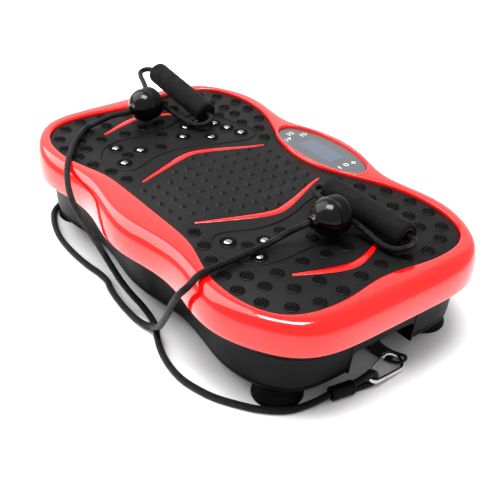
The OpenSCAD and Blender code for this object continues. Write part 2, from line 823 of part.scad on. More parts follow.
// Cord from the left stopper through the left grip and back
left_loop = [
    [-198.2, 8.9, 146], [-198.9, 12.5, 145.4], [-199, 18, 142], [-193, 25, 136.4], [-182, 29, 131.8],
    [-166, 31, 130.2], [-153, 33, 130.2], [-142, 37, 131.2], [-134, 44, 134], [-133, 52, 138.5],
    [-138.5, 55, 140.7], [-148, 55, 141.8], [-178, 55, 146], [-210, 55, 150.5], [-242, 55, 155],
    [-273, 54.5, 159.2], [-284, 53, 160], [-292, 46, 159.5], [-291, 37, 158], [-281, 31, 156],
    [-266, 26, 154], [-250, 20, 152.5], [-234, 14, 152], [-221, 10.5, 152], [-215, 8.4, 152],
    [-213.9, 5.2, 152]
];

// Elastic band from the left stopper, over the front rim and along the floor
// to the right end
left_band = [
    [-195.9, -36.3, 150], [-195.4, -40, 149.8], [-199, -49, 147.7], [-208, -60, 143],
    [-218, -72, 135], [-220, -90, 130],
    [-201, -113, 129.8], [-176, -135, 129.8], [-143, -157, 131], [-121, -170, 127], [-98, -180, 119],
    [-82, -183, 108], [-68, -183, 98], [-50, -183, 90], [-33, -182, 81], [-15, -181, 71],
    [-4, -177, 56], [8, -173, 42], [21, -168, 30], [31, -162, 19], [43, -158, 9], [60, -160, 4],
    [80, -170, 4], [104, -179, 4], [128, -184, 4], [153, -185, 4], [174, -181, 4], [197, -173, 4],
    [219, -160, 4], [241, -143, 4], [258, -121, 4], [265, -96, 5], [268.2, -73.2, 8.2]
];

// Elastic band from the right stopper, over the front rim, back along the
// floor and round the left foot to the left end
right_band = [
    [162.7, -23.8, 150], [162.2, -27.6, 149.7], [158.4, -36, 146], [150, -48, 137],
    [147, -65, 131], [147, -85, 129.8],
    [149, -107, 129.8], [150, -127, 130], [152, -146, 131], [154, -162, 131], [157, -177, 125],
    [151, -183, 115], [138, -184, 95], [125, -182, 73], [110, -179, 52], [94, -174, 33],
    [79, -170, 19], [66, -168, 11.5], [55, -170, 7], [39, -172, 5], [15, -172, 4], [-12, -170, 4],
    [-37, -166, 4], [-51, -162, 4], [-72, -162, 4], [-93, -165, 4], [-122, -167, 4], [-151, -167, 4],
    [-180, -164, 4], [-208, -157, 4], [-226, -150, 4], [-244, -140, 4], [-260, -120, 4],
    [-266, -97, 5], [-268.2, -73.2, 8.2]
];

module handle_cord_right() { color([0.05, 0.05, 0.05]) tube(right_loop, loop_d / 2); }
module handle_cord_left() { color([0.05, 0.05, 0.05]) tube(left_loop, loop_d / 2); }
module band_left() { color([0.06, 0.06, 0.06]) tube(left_band, band_d / 2); }
module band_right() { color([0.06, 0.06, 0.06]) tube(right_band, band_d / 2); }

base_housing();
service_cover();
cover_screws();
base_frame();
frame_bolts();
suction_feet();
foot_bolts();
pivot_blocks();
pivot_shaft();
pivot_bushes();
motor();
motor_bracket();
motor_rotor();
drive_belt();
bearing_blocks();
crankshaft();
crank_pulley();
connecting_link();
rubber_bumpers();
control_board();
power_inlet();
switch_bezel();
switch_rocker();
top_shell();
massage_mat();
magnet_studs();
deck_frame();
deck_screws();
display_lens();
display_board();
strap_right();
strap_left();
strap_clamps();
strap_screws();
stopper_shell_left();
stopper_cap_left();
stopper_knot_left();
stopper_shell_right();
stopper_cap_right();
stopper_knot_right();
grip_foam_left();
grip_core_left();
grip_foam_right();
grip_core_right();
handle_cord_left();
handle_cord_right();
band_left();
band_right();
band_eye_right();
band_eye_left();
crimp_sleeve_right();
crimp_sleeve_left();
carabiner_right();
carabiner_left();
gate_right();
gate_left();
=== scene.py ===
import json
import math

import bmesh
import bpy
import numpy as np
from mathutils import Matrix, Vector


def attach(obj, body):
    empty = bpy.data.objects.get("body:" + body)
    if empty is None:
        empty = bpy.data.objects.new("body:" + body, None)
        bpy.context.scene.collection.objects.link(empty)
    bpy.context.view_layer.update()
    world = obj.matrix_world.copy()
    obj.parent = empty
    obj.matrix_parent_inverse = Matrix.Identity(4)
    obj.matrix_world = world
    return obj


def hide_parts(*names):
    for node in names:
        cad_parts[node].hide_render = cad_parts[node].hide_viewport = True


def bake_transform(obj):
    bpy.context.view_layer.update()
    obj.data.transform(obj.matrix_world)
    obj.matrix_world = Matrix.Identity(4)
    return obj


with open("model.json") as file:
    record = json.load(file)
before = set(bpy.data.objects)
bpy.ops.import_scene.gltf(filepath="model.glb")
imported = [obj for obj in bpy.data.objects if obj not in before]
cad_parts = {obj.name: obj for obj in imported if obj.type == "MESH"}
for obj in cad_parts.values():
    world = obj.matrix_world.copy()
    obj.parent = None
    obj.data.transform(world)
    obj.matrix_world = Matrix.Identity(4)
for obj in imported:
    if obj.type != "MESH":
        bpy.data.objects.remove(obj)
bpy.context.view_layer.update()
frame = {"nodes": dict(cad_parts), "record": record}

MM = 0.001
TAU = 2 * math.pi

# ---- camera ---------------------------------------------------------------

cam_data = bpy.data.cameras.new("camera")
cam_data.lens = 60.4
cam_data.sensor_width = 36
cam_data.clip_end = 50
cam = bpy.data.objects.new("camera", cam_data)
bpy.context.scene.collection.objects.link(cam)
cam.location = (0.7313, -0.5483, 0.6198)
aim = Vector((0.1087, -0.0616, 0.0997)) - cam.location
cam.rotation_mode = "QUATERNION"
roll = Matrix.Rotation(math.radians(1.9), 4, "Z").to_quaternion()
cam.rotation_quaternion = aim.to_track_quat("-Z", "Y") @ roll
bpy.context.scene.camera = cam

# ---- materials ------------------------------------------------------------


def node(tree, kind, **values):
    n = tree.nodes.new(kind)
    for key, value in values.items():
        if hasattr(n, key):
            setattr(n, key, value)
        else:
            n.inputs[key.replace("_", " ")].default_value = value
    return n


def link(tree, a, out, b, into):
    tree.links.new(a.outputs[out], b.inputs[into])


def plain(name, color, rough, metal=0.0, coat=0.0, coat_rough=0.05, sheen=0.0):
    """A Principled material with uniform values on its own sockets."""
    m = bpy.data.materials.new(name)
    m.use_nodes = True
    m.diffuse_color = (*color, 1)
    s = m.node_tree.nodes["Principled BSDF"]
    s.inputs["Base Color"].default_value = (*color, 1)
    s.inputs["Roughness"].default_value = rough
    s.inputs["Metallic"].default_value = metal
    s.inputs["Coat Weight"].default_value = coat
    s.inputs["Coat Roughness"].default_value = coat_rough
    s.inputs["Sheen Weight"].default_value = sheen
    s.inputs["IOR"].default_value = 1.5
    return m, m.node_tree, s


def coordinates(tree, source="Object"):
    return node(tree, "ShaderNodeTexCoord"), source


def tinted(tree, s, coords, scale, dark, light):
    """Base colour that drifts between dark and light."""
    n = node(tree, "ShaderNodeTexNoise", Scale=scale, Detail=4.0)
    link(tree, coords[0], coords[1], n, "Vector")
    ramp = node(tree, "ShaderNodeValToRGB")
    ramp.color_ramp.elements[0].position = 0.3
    ramp.color_ramp.elements[0].color = (*dark, 1)
    ramp.color_ramp.elements[1].position = 0.7
    ramp.color_ramp.elements[1].color = (*light, 1)
    link(tree, n, "Fac", ramp, "Fac")
    link(tree, ramp, "Color", s, "Base Color")


def worn(tree, s, coords, scale, low, high):
    """Roughness that drifts between low and high."""
    n = node(tree, "ShaderNodeTexNoise", Scale=scale, Detail=5.0)
    link(tree, coords[0], coords[1], n, "Vector")
    r = node(tree, "ShaderNodeMapRange")
    r.inputs["From Min"].default_value = 0.3
    r.inputs["From Max"].default_value = 0.7
    r.inputs["To Min"].default_value = low
    r.inputs["To Max"].default_value = high
    link(tree, n, "Fac", r, "Value")
    link(tree, r, "Result", s, "Roughness")


def bumped(tree, s, height, out, distance, below=None):
    """Bump from a height, on top of the bump below if there is one."""
    b = node(tree, "ShaderNodeBump", Strength=1.0, Distance=distance)
    link(tree, height, out, b, "Height")
    if below is not None:
        link(tree, below, "Normal", b, "Normal")
    link(tree, b, "Normal", s, "Normal")


def scaled(color, k):
    return tuple(min(1.0, c * k) for c in color)


def moulded(name, color, rough, coat=0.0, grain=900.0, depth=0.00004, drift=0.12, spread=0.05,
            coat_rough=0.05, shine=0.5):
    """Moulded plastic or rubber: fine grain, slight drift of colour and gloss."""
    m, t, s = plain(name, color, rough, coat=coat, coat_rough=coat_rough)
    s.inputs["Specular IOR Level"].default_value = shine
    c = coordinates(t)
    tinted(t, s, c, 14.0, scaled(color, 1 - drift), scaled(color, 1 + drift))
    worn(t, s, c, 35.0, max(0.02, rough - spread), min(1.0, rough + spread))
    g = node(t, "ShaderNodeTexNoise", Scale=grain, Detail=3.0)
    link(t, c[0], c[1], g, "Vector")
    bumped(t, s, g, "Fac", depth)
    return m


def metal(name, color, rough, brushed=None, spread=0.06):
    """Metal with faint streaks along one axis or a fine random grain."""
    m, t, s = plain(name, color, rough, metal=1.0)
    c = coordinates(t)
    tinted(t, s, c, 60.0, scaled(color, 0.88), scaled(color, 1.08))
    worn(t, s, c, 160.0, max(0.02, rough - spread), rough + spread)
    mp = node(t, "ShaderNodeMapping")
    mp.inputs["Scale"].default_value = brushed or (900.0, 900.0, 900.0)
    link(t, c[0], c[1], mp, "Vector")
    g = node(t, "ShaderNodeTexNoise", Scale=1.0, Detail=2.0)
    link(t, mp, "Vector", g, "Vector")
    bumped(t, s, g, "Fac", 0.00002)
    return m


def waves(tree, coords, along, around):
    """Sine of (along * length + around * turns), from a UV map of metres and turns."""
    sep = node(tree, "ShaderNodeSeparateXYZ")
    link(tree, coords[0], coords[1], sep, "Vector")
    a = node(tree, "ShaderNodeMath", operation="MULTIPLY")
    a.inputs[1].default_value = along * TAU
    link(tree, sep, "X", a, 0)
    b = node(tree, "ShaderNodeMath", operation="MULTIPLY")
    b.inputs[1].default_value = around * TAU
    link(tree, sep, "Y", b, 0)
    c = node(tree, "ShaderNodeMath", operation="ADD")
    tree.links.new(a.outputs[0], c.inputs[0])
    tree.links.new(b.outputs[0], c.inputs[1])
    d = node(tree, "ShaderNodeMath", operation="SINE")
    tree.links.new(c.outputs[0], d.inputs[0])
    return d


def braided(name, color, rough, strands, pitch, depth):
    """Woven cord sleeve: two sets of strands that cross, over fine lint. Its colour follows the strands'
    height: painted shade between the strands and painted highlight on their crests.
    """
    m, t, s = plain(name, color, rough, sheen=0.06)
    s.inputs["Specular IOR Level"].default_value = 0.3
    s.inputs["Sheen Roughness"].default_value = 0.4
    uv = coordinates(t, "UV")
    one = waves(t, uv, pitch, strands)
    two = waves(t, uv, -pitch, strands)
    top = node(t, "ShaderNodeMath", operation="MAXIMUM")
    t.links.new(one.outputs[0], top.inputs[0])
    t.links.new(two.outputs[0], top.inputs[1])
    # Painted shade and highlight: dark between the strands (0.35x), light on their crests (1.5x)
    ramp = node(t, "ShaderNodeValToRGB")
    ramp.color_ramp.elements[0].position = 0.1
    ramp.color_ramp.elements[0].color = (*scaled(color, 0.35), 1)
    ramp.color_ramp.elements[1].position = 0.95
    ramp.color_ramp.elements[1].color = (*scaled(color, 1.5), 1)
    t.links.new(top.outputs[0], ramp.inputs["Fac"])
    link(t, ramp, "Color", s, "Base Color")
    lint = node(t, "ShaderNodeTexNoise", Scale=1500.0, Detail=3.0)
    link(t, coordinates(t)[0], "Object", lint, "Vector")
    first = node(t, "ShaderNodeBump", Strength=0.6, Distance=0.0001)
    link(t, lint, "Fac", first, "Height")
    bumped(t, s, top, 0, depth, below=first)
    return m


red = moulded("gloss_red", (0.86, 0.009, 0.007), 0.16, coat=1.0, grain=240.0, depth=0.00001,
              drift=0.03, spread=0.03, coat_rough=0.03)
red_edge = moulded("gloss_red_inner", (0.80, 0.012, 0.010), 0.2, coat=0.8, grain=240.0, depth=0.00001,
                   drift=0.03, spread=0.03)
satin_black = moulded("satin_black", (0.006, 0.0064, 0.0068), 0.42, grain=1400.0, depth=0.00005,
                      shine=0.22)
mat_rubber = moulded("mat_rubber", (0.012, 0.0125, 0.012), 0.52, grain=1100.0, depth=0.00007,
                     drift=0.18, spread=0.06, shine=0.28)
# Half as bright as mat_rubber: darker rubber on the nubs and magnet bosses, and painted shade on the
# pyramids and foot outlines, which stand dark from shade
dark_rubber_and_painted_shade = moulded("dark_rubber_and_painted_shade", (0.006, 0.006, 0.006), 0.42, grain=1100.0, depth=0.00004,
                       drift=0.2, spread=0.06, shine=0.3)
foot_rubber = moulded("foot_rubber", (0.005, 0.005, 0.005), 0.5, depth=0.00006, shine=0.2)
gloss_black = moulded("gloss_black", (0.005, 0.0055, 0.0055), 0.2, coat=0.35, grain=400.0,
                      depth=0.000006, spread=0.03, coat_rough=0.08, shine=0.3)
matte_black = moulded("matte_black", (0.007, 0.007, 0.007), 0.38, grain=1400.0, depth=0.00005,
                      shine=0.3)
tube_black = moulded("tube_black", (0.02, 0.02, 0.02), 0.4)
sleeve_black = moulded("sleeve_black", (0.007, 0.007, 0.007), 0.5, grain=700.0, depth=0.0001,
                       shine=0.25)
glass_dark = moulded("panel_glass", (0.085, 0.092, 0.098), 0.2, coat=0.6, grain=260.0,
                     depth=0.000006, drift=0.04, spread=0.02, shine=0.3)
lcd = moulded("lcd_window", (0.10, 0.112, 0.15), 0.18, coat=0.6, grain=300.0, depth=0.000006,
              drift=0.05, spread=0.02, shine=0.3)
icon_white = moulded("icon_white", (0.75, 0.77, 0.78), 0.4, depth=0.00001, drift=0.04)
chrome = metal("stud_chrome", (0.42, 0.43, 0.45), 0.16, spread=0.03)
steel = metal("bright_steel", (0.66, 0.66, 0.67), 0.2)
frame_paint = moulded("frame_paint", (0.05, 0.05, 0.055), 0.45, grain=1200.0, depth=0.0001)
motor_paint = moulded("motor_paint", (0.16, 0.16, 0.17), 0.4, depth=0.00006)
pulley_metal = metal("pulley_metal", (0.62, 0.63, 0.65), 0.28, brushed=(300.0, 4000.0, 300.0))
bronze = metal("bronze", (0.55, 0.36, 0.15), 0.4)
board_green = moulded("board_green", (0.02, 0.12, 0.05), 0.35, coat=0.4, grain=500.0, depth=0.0001,
                      drift=0.3)
switch_red = moulded("switch_red", (0.45, 0.012, 0.012), 0.2, coat=0.6, grain=500.0, depth=0.00001)
band_cover = braided("band_cover", (0.011, 0.0115, 0.012), 0.42, 9, 42.0, 0.00035)
loop_cover = braided("loop_cover", (0.010, 0.0105, 0.011), 0.4, 8, 62.0, 0.00028)


def foam_material():
    """Closed-cell foam: fine cells over a soft unevenness."""
    m, t, s = plain("grip_foam", (0.010, 0.010, 0.0105), 0.8, sheen=0.03)
    s.inputs["Specular IOR Level"].default_value = 0.25
    s.inputs["Sheen Roughness"].default_value = 0.5
    c = coordinates(t)
    tinted(t, s, c, 90.0, (0.007, 0.007, 0.0075), (0.015, 0.015, 0.0155))
    cells = node(t, "ShaderNodeTexVoronoi", Scale=900.0)
    link(t, c[0], c[1], cells, "Vector")
    first = node(t, "ShaderNodeBump", Strength=0.5, Distance=0.0003)
    link(t, cells, "Distance", first, "Height")
    soft = node(t, "ShaderNodeTexNoise", Scale=70.0, Detail=4.0)
    link(t, c[0], c[1], soft, "Vector")
    bumped(t, s, soft, "Fac", 0.0008, below=first)
    return m


def webbing_material():
    """Flat woven strap: warp across the width and weft along it. Its colour follows the weave's height:
    painted shade in the hollows and painted light on the raised threads.
    """
    m, t, s = plain("webbing", (0.013, 0.013, 0.014), 0.6, sheen=0.2)
    uv = coordinates(t, "UV")
    warp = waves(t, uv, 0.0, 14.0)
    weft = waves(t, uv, 900.0, 0.0)
    both = node(t, "ShaderNodeMath", operation="MULTIPLY")
    t.links.new(warp.outputs[0], both.inputs[0])
    t.links.new(weft.outputs[0], both.inputs[1])
    # Painted shade and light: the colour follows the same weave height as the bump
    ramp = node(t, "ShaderNodeValToRGB")
    ramp.color_ramp.elements[0].color = (0.006, 0.006, 0.007, 1)
    ramp.color_ramp.elements[1].color = (0.024, 0.024, 0.026, 1)
    t.links.new(both.outputs[0], ramp.inputs["Fac"])
    link(t, ramp, "Color", s, "Base Color")
    bumped(t, s, both, 0, 0.00035)
    return m


foam = foam_material()
webbing = webbing_material()

# ---- mesh helpers, in millimetres -----------------------------------------


def build(name, verts, faces, material, uvs=None, sharp=40.0):
    """Mesh object from millimetre points, smooth except at edges sharper than sharp degrees."""
    me = bpy.data.meshes.new(name)
    me.from_pydata([tuple(c * MM for c in v) for v in verts], [], [tuple(f) for f in faces])
    me.validate()
    bm = bmesh.new()
    bm.from_mesh(me)
    bmesh.ops.recalc_face_normals(bm, faces=bm.faces)
    bm.to_mesh(me)
    bm.free()
    for p in me.polygons:
        p.use_smooth = True
    me.set_sharp_from_angle(angle=math.radians(sharp))
    if uvs is not None:
        layer = me.uv_layers.new(name="UVMap")
        for loop in me.loops:
            layer.data[loop.index].uv = uvs[loop.vertex_index]
    me.materials.append(material)
    o = bpy.data.objects.new(name, me)
    bpy.context.scene.collection.objects.link(o)
    return o


def loft_data(rings, start_cap=True, end_cap=True):
    """Skin over closed rings of equal length, with a flat cap at each end."""
    n, m = len(rings[0]), len(rings)
    verts = [p for r in rings for p in r]
    faces = []
    for k in range(m - 1):
        for i in range(n):
            j = (i + 1) % n
            faces.append((k * n + i, k * n + j, (k + 1) * n + j, (k + 1) * n + i))
    if start_cap:
        faces.append(tuple(range(n - 1, -1, -1)))
    if end_cap:
        faces.append(tuple((m - 1) * n + i for i in range(n)))
    return verts, faces


def upright(outline, z0, z1):
    """Straight block over a flat outline."""
    return loft_data([[(x, y, z) for x, y in outline] for z in (z0, z1)])


def join(parts):
    """One (verts, faces) from several."""
    verts, faces = [], []
    for v, f in parts:
        base = len(verts)
        verts += [tuple(p) for p in v]
        faces += [tuple(base + i for i in g) for g in f]
    return verts, faces


def moved(data, matrix):
    return [tuple(matrix @ Vector(v)) for v in data[0]], data[1]


def mirrored(data):
    return [(-v[0], v[1], v[2]) for v in data[0]], [tuple(reversed(f)) for f in data[1]]


def lathe_data(profile, segments=48, matrix=None):
    """Profile of (radius, height) turned about Z. A first or last radius of 0 closes that end."""
    turns = [TAU * i / segments for i in range(segments)]
    rings = [[(r * math.cos(t), r * math.sin(t), h) for t in turns] for r, h in profile if r > 1e-6]
    verts, faces = loft_data(rings, start_cap=False, end_cap=False)
    last = (len(rings) - 1) * segments
    if profile[0][0] <= 1e-6:
        verts.append((0, 0, profile[0][1]))
        faces += [(len(verts) - 1, (i + 1) % segments, i) for i in range(segments)]
    if profile[-1][0] <= 1e-6:
        verts.append((0, 0, profile[-1][1]))
        faces += [(len(verts) - 1, last + i, last + (i + 1) % segments) for i in range(segments)]
    data = (verts, faces)
    return moved(data, matrix) if matrix is not None else data


def rounded(profile, radius, steps=4):
    """Profile with its inner corners rounded."""
    out = [profile[0]]
    for a, b, c in zip(profile, profile[1:], profile[2:]):
        a, b, c = (np.array(p, float) for p in (a, b, c))
        r = min(radius, 0.45 * np.linalg.norm(b - a), 0.45 * np.linalg.norm(c - b))
        p = b + (a - b) / max(np.linalg.norm(a - b), 1e-9) * r
        q = b + (c - b) / max(np.linalg.norm(c - b), 1e-9) * r
        for k in range(steps + 1):
            t = k / steps
            out.append(tuple((1 - t) ** 2 * p + 2 * t * (1 - t) * b + t * t * q))
    out.append(profile[-1])
    return out


def smooth_path(points, spacing, closed=False):
    """Centripetal curve through the points, at even spacing, in millimetres."""
    p = [np.array(q, float) for q in points]
    p = [p[-1], *p, p[0], p[1]] if closed else [2 * p[0] - p[1], *p, 2 * p[-1] - p[-2]]
    dense = []
    for a, b, c, d in zip(p, p[1:], p[2:], p[3:]):
        t0 = 0.0
        t1 = t0 + np.linalg.norm(b - a) ** 0.5
        t2 = t1 + np.linalg.norm(c - b) ** 0.5
        t3 = t2 + np.linalg.norm(d - c) ** 0.5
        for t in np.linspace(t1, t2, 24, endpoint=False):
            a1 = (t1 - t) / (t1 - t0) * a + (t - t0) / (t1 - t0) * b
            a2 = (t2 - t) / (t2 - t1) * b + (t - t1) / (t2 - t1) * c
            a3 = (t3 - t) / (t3 - t2) * c + (t - t2) / (t3 - t2) * d
            b1 = (t2 - t) / (t2 - t0) * a1 + (t - t0) / (t2 - t0) * a2
            b2 = (t3 - t) / (t3 - t1) * a2 + (t - t1) / (t3 - t1) * a3
            dense.append((t2 - t) / (t2 - t1) * b1 + (t - t1) / (t2 - t1) * b2)
    if not closed:
        dense.append(p[-2])
    dense = np.array(dense)
    if closed:
        dense = np.vstack([dense, dense[:1]])
    run = np.concatenate([[0], np.cumsum(np.linalg.norm(np.diff(dense, axis=0), axis=1))])
    count = max(4, int(round(run[-1] / spacing)))
    at = np.linspace(0, run[-1], count + 1)
    if closed:
        at = at[:-1]
    return np.stack([np.interp(at, run, dense[:, k]) for k in range(3)], 1)


def frames(path, closed=False):
    """Tangent and two side vectors at each point, carried without twist."""
    n = len(path)
    if closed:
        tan = np.roll(path, -1, 0) - np.roll(path, 1, 0)
    else:
        tan = np.gradient(path, axis=0)
    tan = tan / np.linalg.norm(tan, axis=1)[:, None]
    side = np.cross(tan[0], [0, 0, 1]) if abs(tan[0][2]) < 0.9 else np.cross(tan[0], [1, 0, 0])
    sides = []
    for i in range(n):
        side = side - np.dot(side, tan[i]) * tan[i]
        side = side / np.linalg.norm(side)
        sides.append(side)
    sides = np.array(sides)
    return tan, sides, np.cross(tan, sides)


def tube_data(path, radius, segments, closed=False):
    """Round tube along the path, with UVs of metres along it and turns round it."""
    _, s, w = frames(path, closed)
    n = len(path)
    r = np.full(n, radius, float) if np.isscalar(radius) else np.array(radius, float)
    run = np.concatenate([[0], np.cumsum(np.linalg.norm(np.diff(path, axis=0), axis=1))])
    verts, uvs = [], []
    for i in range(n):
        for k in range(segments + 1):
            a = TAU * k / segments
            verts.append(tuple(path[i] + r[i] * (math.cos(a) * s[i] + math.sin(a) * w[i])))
            uvs.append((run[i] * MM, k / segments))
    row = segments + 1
    faces = []
    for i in range(n if closed else n - 1):
        j = (i + 1) % n
        for k in range(segments):
            faces.append((i * row + k, i * row + k + 1, j * row + k + 1, j * row + k))
    if not closed:
        for i, order in ((0, -1), (n - 1, 1)):
            verts.append(tuple(path[i]))
            uvs.append((run[i] * MM, 0.5))
            c = len(verts) - 1
            for k in range(segments):
                pair = (i * row + k, i * row + k + 1)
                faces.append((c, *pair[::order]))
    return verts, faces, uvs


def tube(name, path, radius, material):
    v, f, uv = tube_data(path, radius, 20)
    return build(name, v, f, material, uvs=uv, sharp=60)


def applied(o, sharp):
    """Makes the modifiers part of the mesh, with edges over sharp degrees left sharp."""
    bpy.context.view_layer.update()
    done = bpy.data.meshes.new_from_object(o.evaluated_get(bpy.context.evaluated_depsgraph_get()))
    o.modifiers.clear()
    old, o.data = o.data, done
    bpy.data.meshes.remove(old)
    for p in done.polygons:
        p.use_smooth = True
    done.set_sharp_from_angle(angle=math.radians(sharp))


def cut(o, cutters, sharp):
    """Takes the cutters out of the object and removes them."""
    for c in cutters:
        mod = o.modifiers.new("cut", "BOOLEAN")
        mod.object, mod.operation, mod.solver = c, "DIFFERENCE", "EXACT"
    applied(o, sharp)
    for c in cutters:
        bpy.data.objects.remove(c)


def finished(o, body, slot, *nodes):
    """Rides on the body and stands for the nodes. The slot argument is not used."""
    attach(o, body)
    if nodes:
        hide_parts(*nodes)
    return o


# ---- cords ----------------------------------------------------------------

BAND_D, LOOP_D = 7.5, 7.0

right_loop = [
    (174.5, 19.6, 144), (175, 23, 143.6), (178, 28, 141), (186, 32, 136.4), (198, 33.5, 133.2),
    (212, 34, 130.5), (224, 34.5, 130.5), (234, 36.5, 132.2), (243, 41, 136), (247, 48, 140),
    (244.5, 54, 142), (239, 55.5, 141.6), (230, 55.5, 141.6), (201, 55.5, 141.6), (170, 55.5, 141.6),
    (139, 55.5, 141.6), (110, 55.5, 141.6), (104, 55.5, 141.6), (99, 54, 141.4), (95, 49, 141),
    (95.5, 42, 140.5), (100, 36.5, 140.2), (108, 34, 140.3), (118, 33, 140.8), (130, 33.5, 141.6),
    (142, 32, 143), (152, 28.5, 145), (157.5, 25, 146.6), (158.6, 21, 147)]
left_loop = [
    (-198.2, 8.9, 146), (-198.9, 12.5, 145.4), (-199, 18, 142), (-193, 25, 136.4), (-182, 29, 131.8),
    (-166, 31, 130.2), (-153, 33, 130.2), (-142, 37, 131.2), (-134, 44, 134), (-133, 52, 138.5),
    (-138.5, 55, 140.7), (-148, 55, 141.8), (-178, 55, 146), (-210, 55, 150.5), (-242, 55, 155),
    (-273, 54.5, 159.2), (-284, 53, 160), (-292, 46, 159.5), (-291, 37, 158), (-281, 31, 156),
    (-266, 26, 154), (-250, 20, 152.5), (-234, 14, 152), (-221, 10.5, 152), (-215, 8.4, 152),
    (-213.9, 5.2, 152)]
left_band = [
    (-195.9, -36.3, 150), (-195.4, -40, 149.8), (-199, -49, 147.7), (-208, -60, 143),
    (-218, -72, 135), (-220, -90, 130),
    (-201, -113, 129.8), (-176, -135, 129.8), (-143, -157, 131), (-121, -170, 127), (-98, -180, 119),
    (-82, -183, 108), (-68, -183, 98), (-50, -183, 90), (-33, -182, 81), (-15, -181, 71),
    (-4, -177, 56), (8, -173, 42), (21, -168, 30), (31, -162, 19), (43, -158, 9), (60, -160, 4),
    (80, -170, 4), (104, -179, 4), (128, -184, 4), (153, -185, 4), (174, -181, 4), (197, -173, 4),
    (219, -160, 4), (241, -143, 4), (258, -121, 4), (265, -96, 5), (268.2, -73.2, 8.2)]
right_band = [
    (162.7, -23.8, 150), (162.2, -27.6, 149.7), (158.4, -36, 146), (150, -48, 137),
    (147, -65, 131), (147, -85, 129.8),
    (149, -107, 129.8), (150, -127, 130), (152, -146, 131), (154, -162, 131), (157, -177, 125),
    (151, -183, 115), (138, -184, 95), (125, -182, 73), (110, -179, 52), (94, -174, 33),
    (79, -170, 19), (66, -168, 11.5), (55, -170, 7), (39, -172, 5), (15, -172, 4), (-12, -170, 4),
    (-37, -166, 4), (-51, -162, 4), (-72, -162, 4), (-93, -165, 4), (-122, -167, 4),
    (-151, -167, 4), (-180, -164, 4), (-208, -157, 4), (-226, -150, 4), (-244, -140, 4),
    (-260, -120, 4), (-266, -97, 5), (-268.2, -73.2, 8.2)]


def free_cord(name, route, diameter, material):
    path = smooth_path(route, 2.2)
    path[:, 2] = np.maximum(path[:, 2], diameter / 2 + 0.15)
    o = tube(name, path, diameter / 2, material)
    return o


# ---- outlines, as in the CAD ----------------------------------------------

HALF_L, HALF_W = 294.0, 172.0
MAT_TOP = 123.5


def superellipse(th, a, b, n):
    r = (abs(math.cos(th) / a) ** n + abs(math.sin(th) / b) ** n) ** (-1 / n)
    return r * math.cos(th), r * math.sin(th)


def even_angles(a, b, n, count):
    """Angles that put the outline's points at even spacing."""
    th = np.linspace(0, TAU, 4001)
    p = np.array([superellipse(t, a, b, n) for t in th])
    run = np.concatenate([[0], np.cumsum(np.linalg.norm(np.diff(p, axis=0), axis=1))])
    return np.interp(np.linspace(0, run[-1], count + 1)[:-1], run, th)


RING = even_angles(HALF_L, HALF_W, 5, 360)


def lobed(a, b, n, z):
    """Superellipse whose long sides bulge in the middle and dip on each side of it."""
    out = []
    for t in RING:
        x, y = superellipse(t, a, b, n)
        out.append((x, y * (1 + 6 / 172 * math.cos(math.radians(360 * x / 190))), z))
    return out


def shell_ring(d, z):
    return lobed(HALF_L - d, HALF_W - d, 5 + 0.063 * d, z)


def top_ring(d, z):
    """Shell outline moved in by d, tighter behind the display."""
    out = []
    for (x0, y0, _), (x, y, _) in zip(shell_ring(0, z), shell_ring(d, z)):
        near = 0.8 * math.exp(-((x / 80) ** 4)) if y > 0 else 0.0
        out.append((x + near * (x0 - x), y + near * (y0 - y), z))
    return out


def mat_point(t, d):
    """Point of the mat's outline, moved in by d."""
    x, y = superellipse(t, 265.5, 157, 5.5)
    if y > 0:
        waist = 58 * math.exp(-((abs(x) / 110) ** 2.2))
    else:
        waist = 29 / (1 + (abs(x) / 130) ** 6)
    dent = 9 * math.exp(-((y / 45) ** 2))
    q = Vector((x - math.copysign(dent, x), y * (1 - waist / 157), 0))
    return q * (1 - d / q.length)


def mat_ring(d, z):
    return [(*mat_point(t, d)[:2], z) for t in RING]


# ---- deck shell -----------------------------------------------------------

DISPLAY = (-1.0, 137.5)


def oval(a, b, z):
    x, y = DISPLAY
    turns = [TAU * i / 160 for i in range(160)]
    return [(x + a * math.cos(t), y + b * math.sin(t), z) for t in turns]


def make_shell():
    """Inner face, skirt and rim, with the display's recess. Each pair is an inset and a height."""
    under = [(14, 116), (9.5, 115.4), (6.8, 112.5), (4.9, 107), (3.6, 98), (3.1, 91.4), (2.7, 90.5),
             (2.0, 90.0)]
    over = [(1.1, 90.0), (0.4, 90.4), (0.05, 91.4), (0, 94), (0, 98), (0.15, 101.5), (0.5, 104.5),
            (1.0, 107.5), (1.7, 111), (2.7, 114.4), (4.1, 117.7), (5.9, 120.8), (8.1, 123.2),
            (10.6, 125.0), (13.2, 126.1), (15.8, 126.75), (18, 127)]
    edge = [(-3.4, 127), (-2.4, 126.85), (-1.5, 126.4), (-0.7, 125.6), (-0.2, 124.6), (0, 123.4), (0, 119.5)]
    rings = [shell_ring(d, z) for d, z in under] + [top_ring(d, z) for d, z in over]
    rings += [mat_ring(d, z) for d, z in edge]
    shell = build("deck_shell", *loft_data(rings), red, sharp=50)
    deep = build("cutter", *loft_data([oval(82.5, 33.5, 122.2), oval(82.5, 33.5, 140)]), red)
    through = build("cutter", *loft_data([oval(60, 18, 112), oval(60, 18, 125)]), red)
    cut(shell, [deep, through], 35)
    return shell


def make_display_rim():
    """Rounded lip round the display, standing a little proud of the shell."""
    section = [(3.9, 122.3), (3.9, 125.5), (3.5, 126.6), (2.8, 127.15), (1.9, 127.4), (0.9, 127.3),
               (0.0, 126.8), (-0.6, 126.0), (-0.9, 124.9), (-1.0, 122.3), (0.5, 122.3)]
    rings = [oval(81.5 + out, 32.8 + out, z) for out, z in section]
    v, f = loft_data(rings, start_cap=False, end_cap=False)
    return build("display_rim", v, f, red, sharp=60)


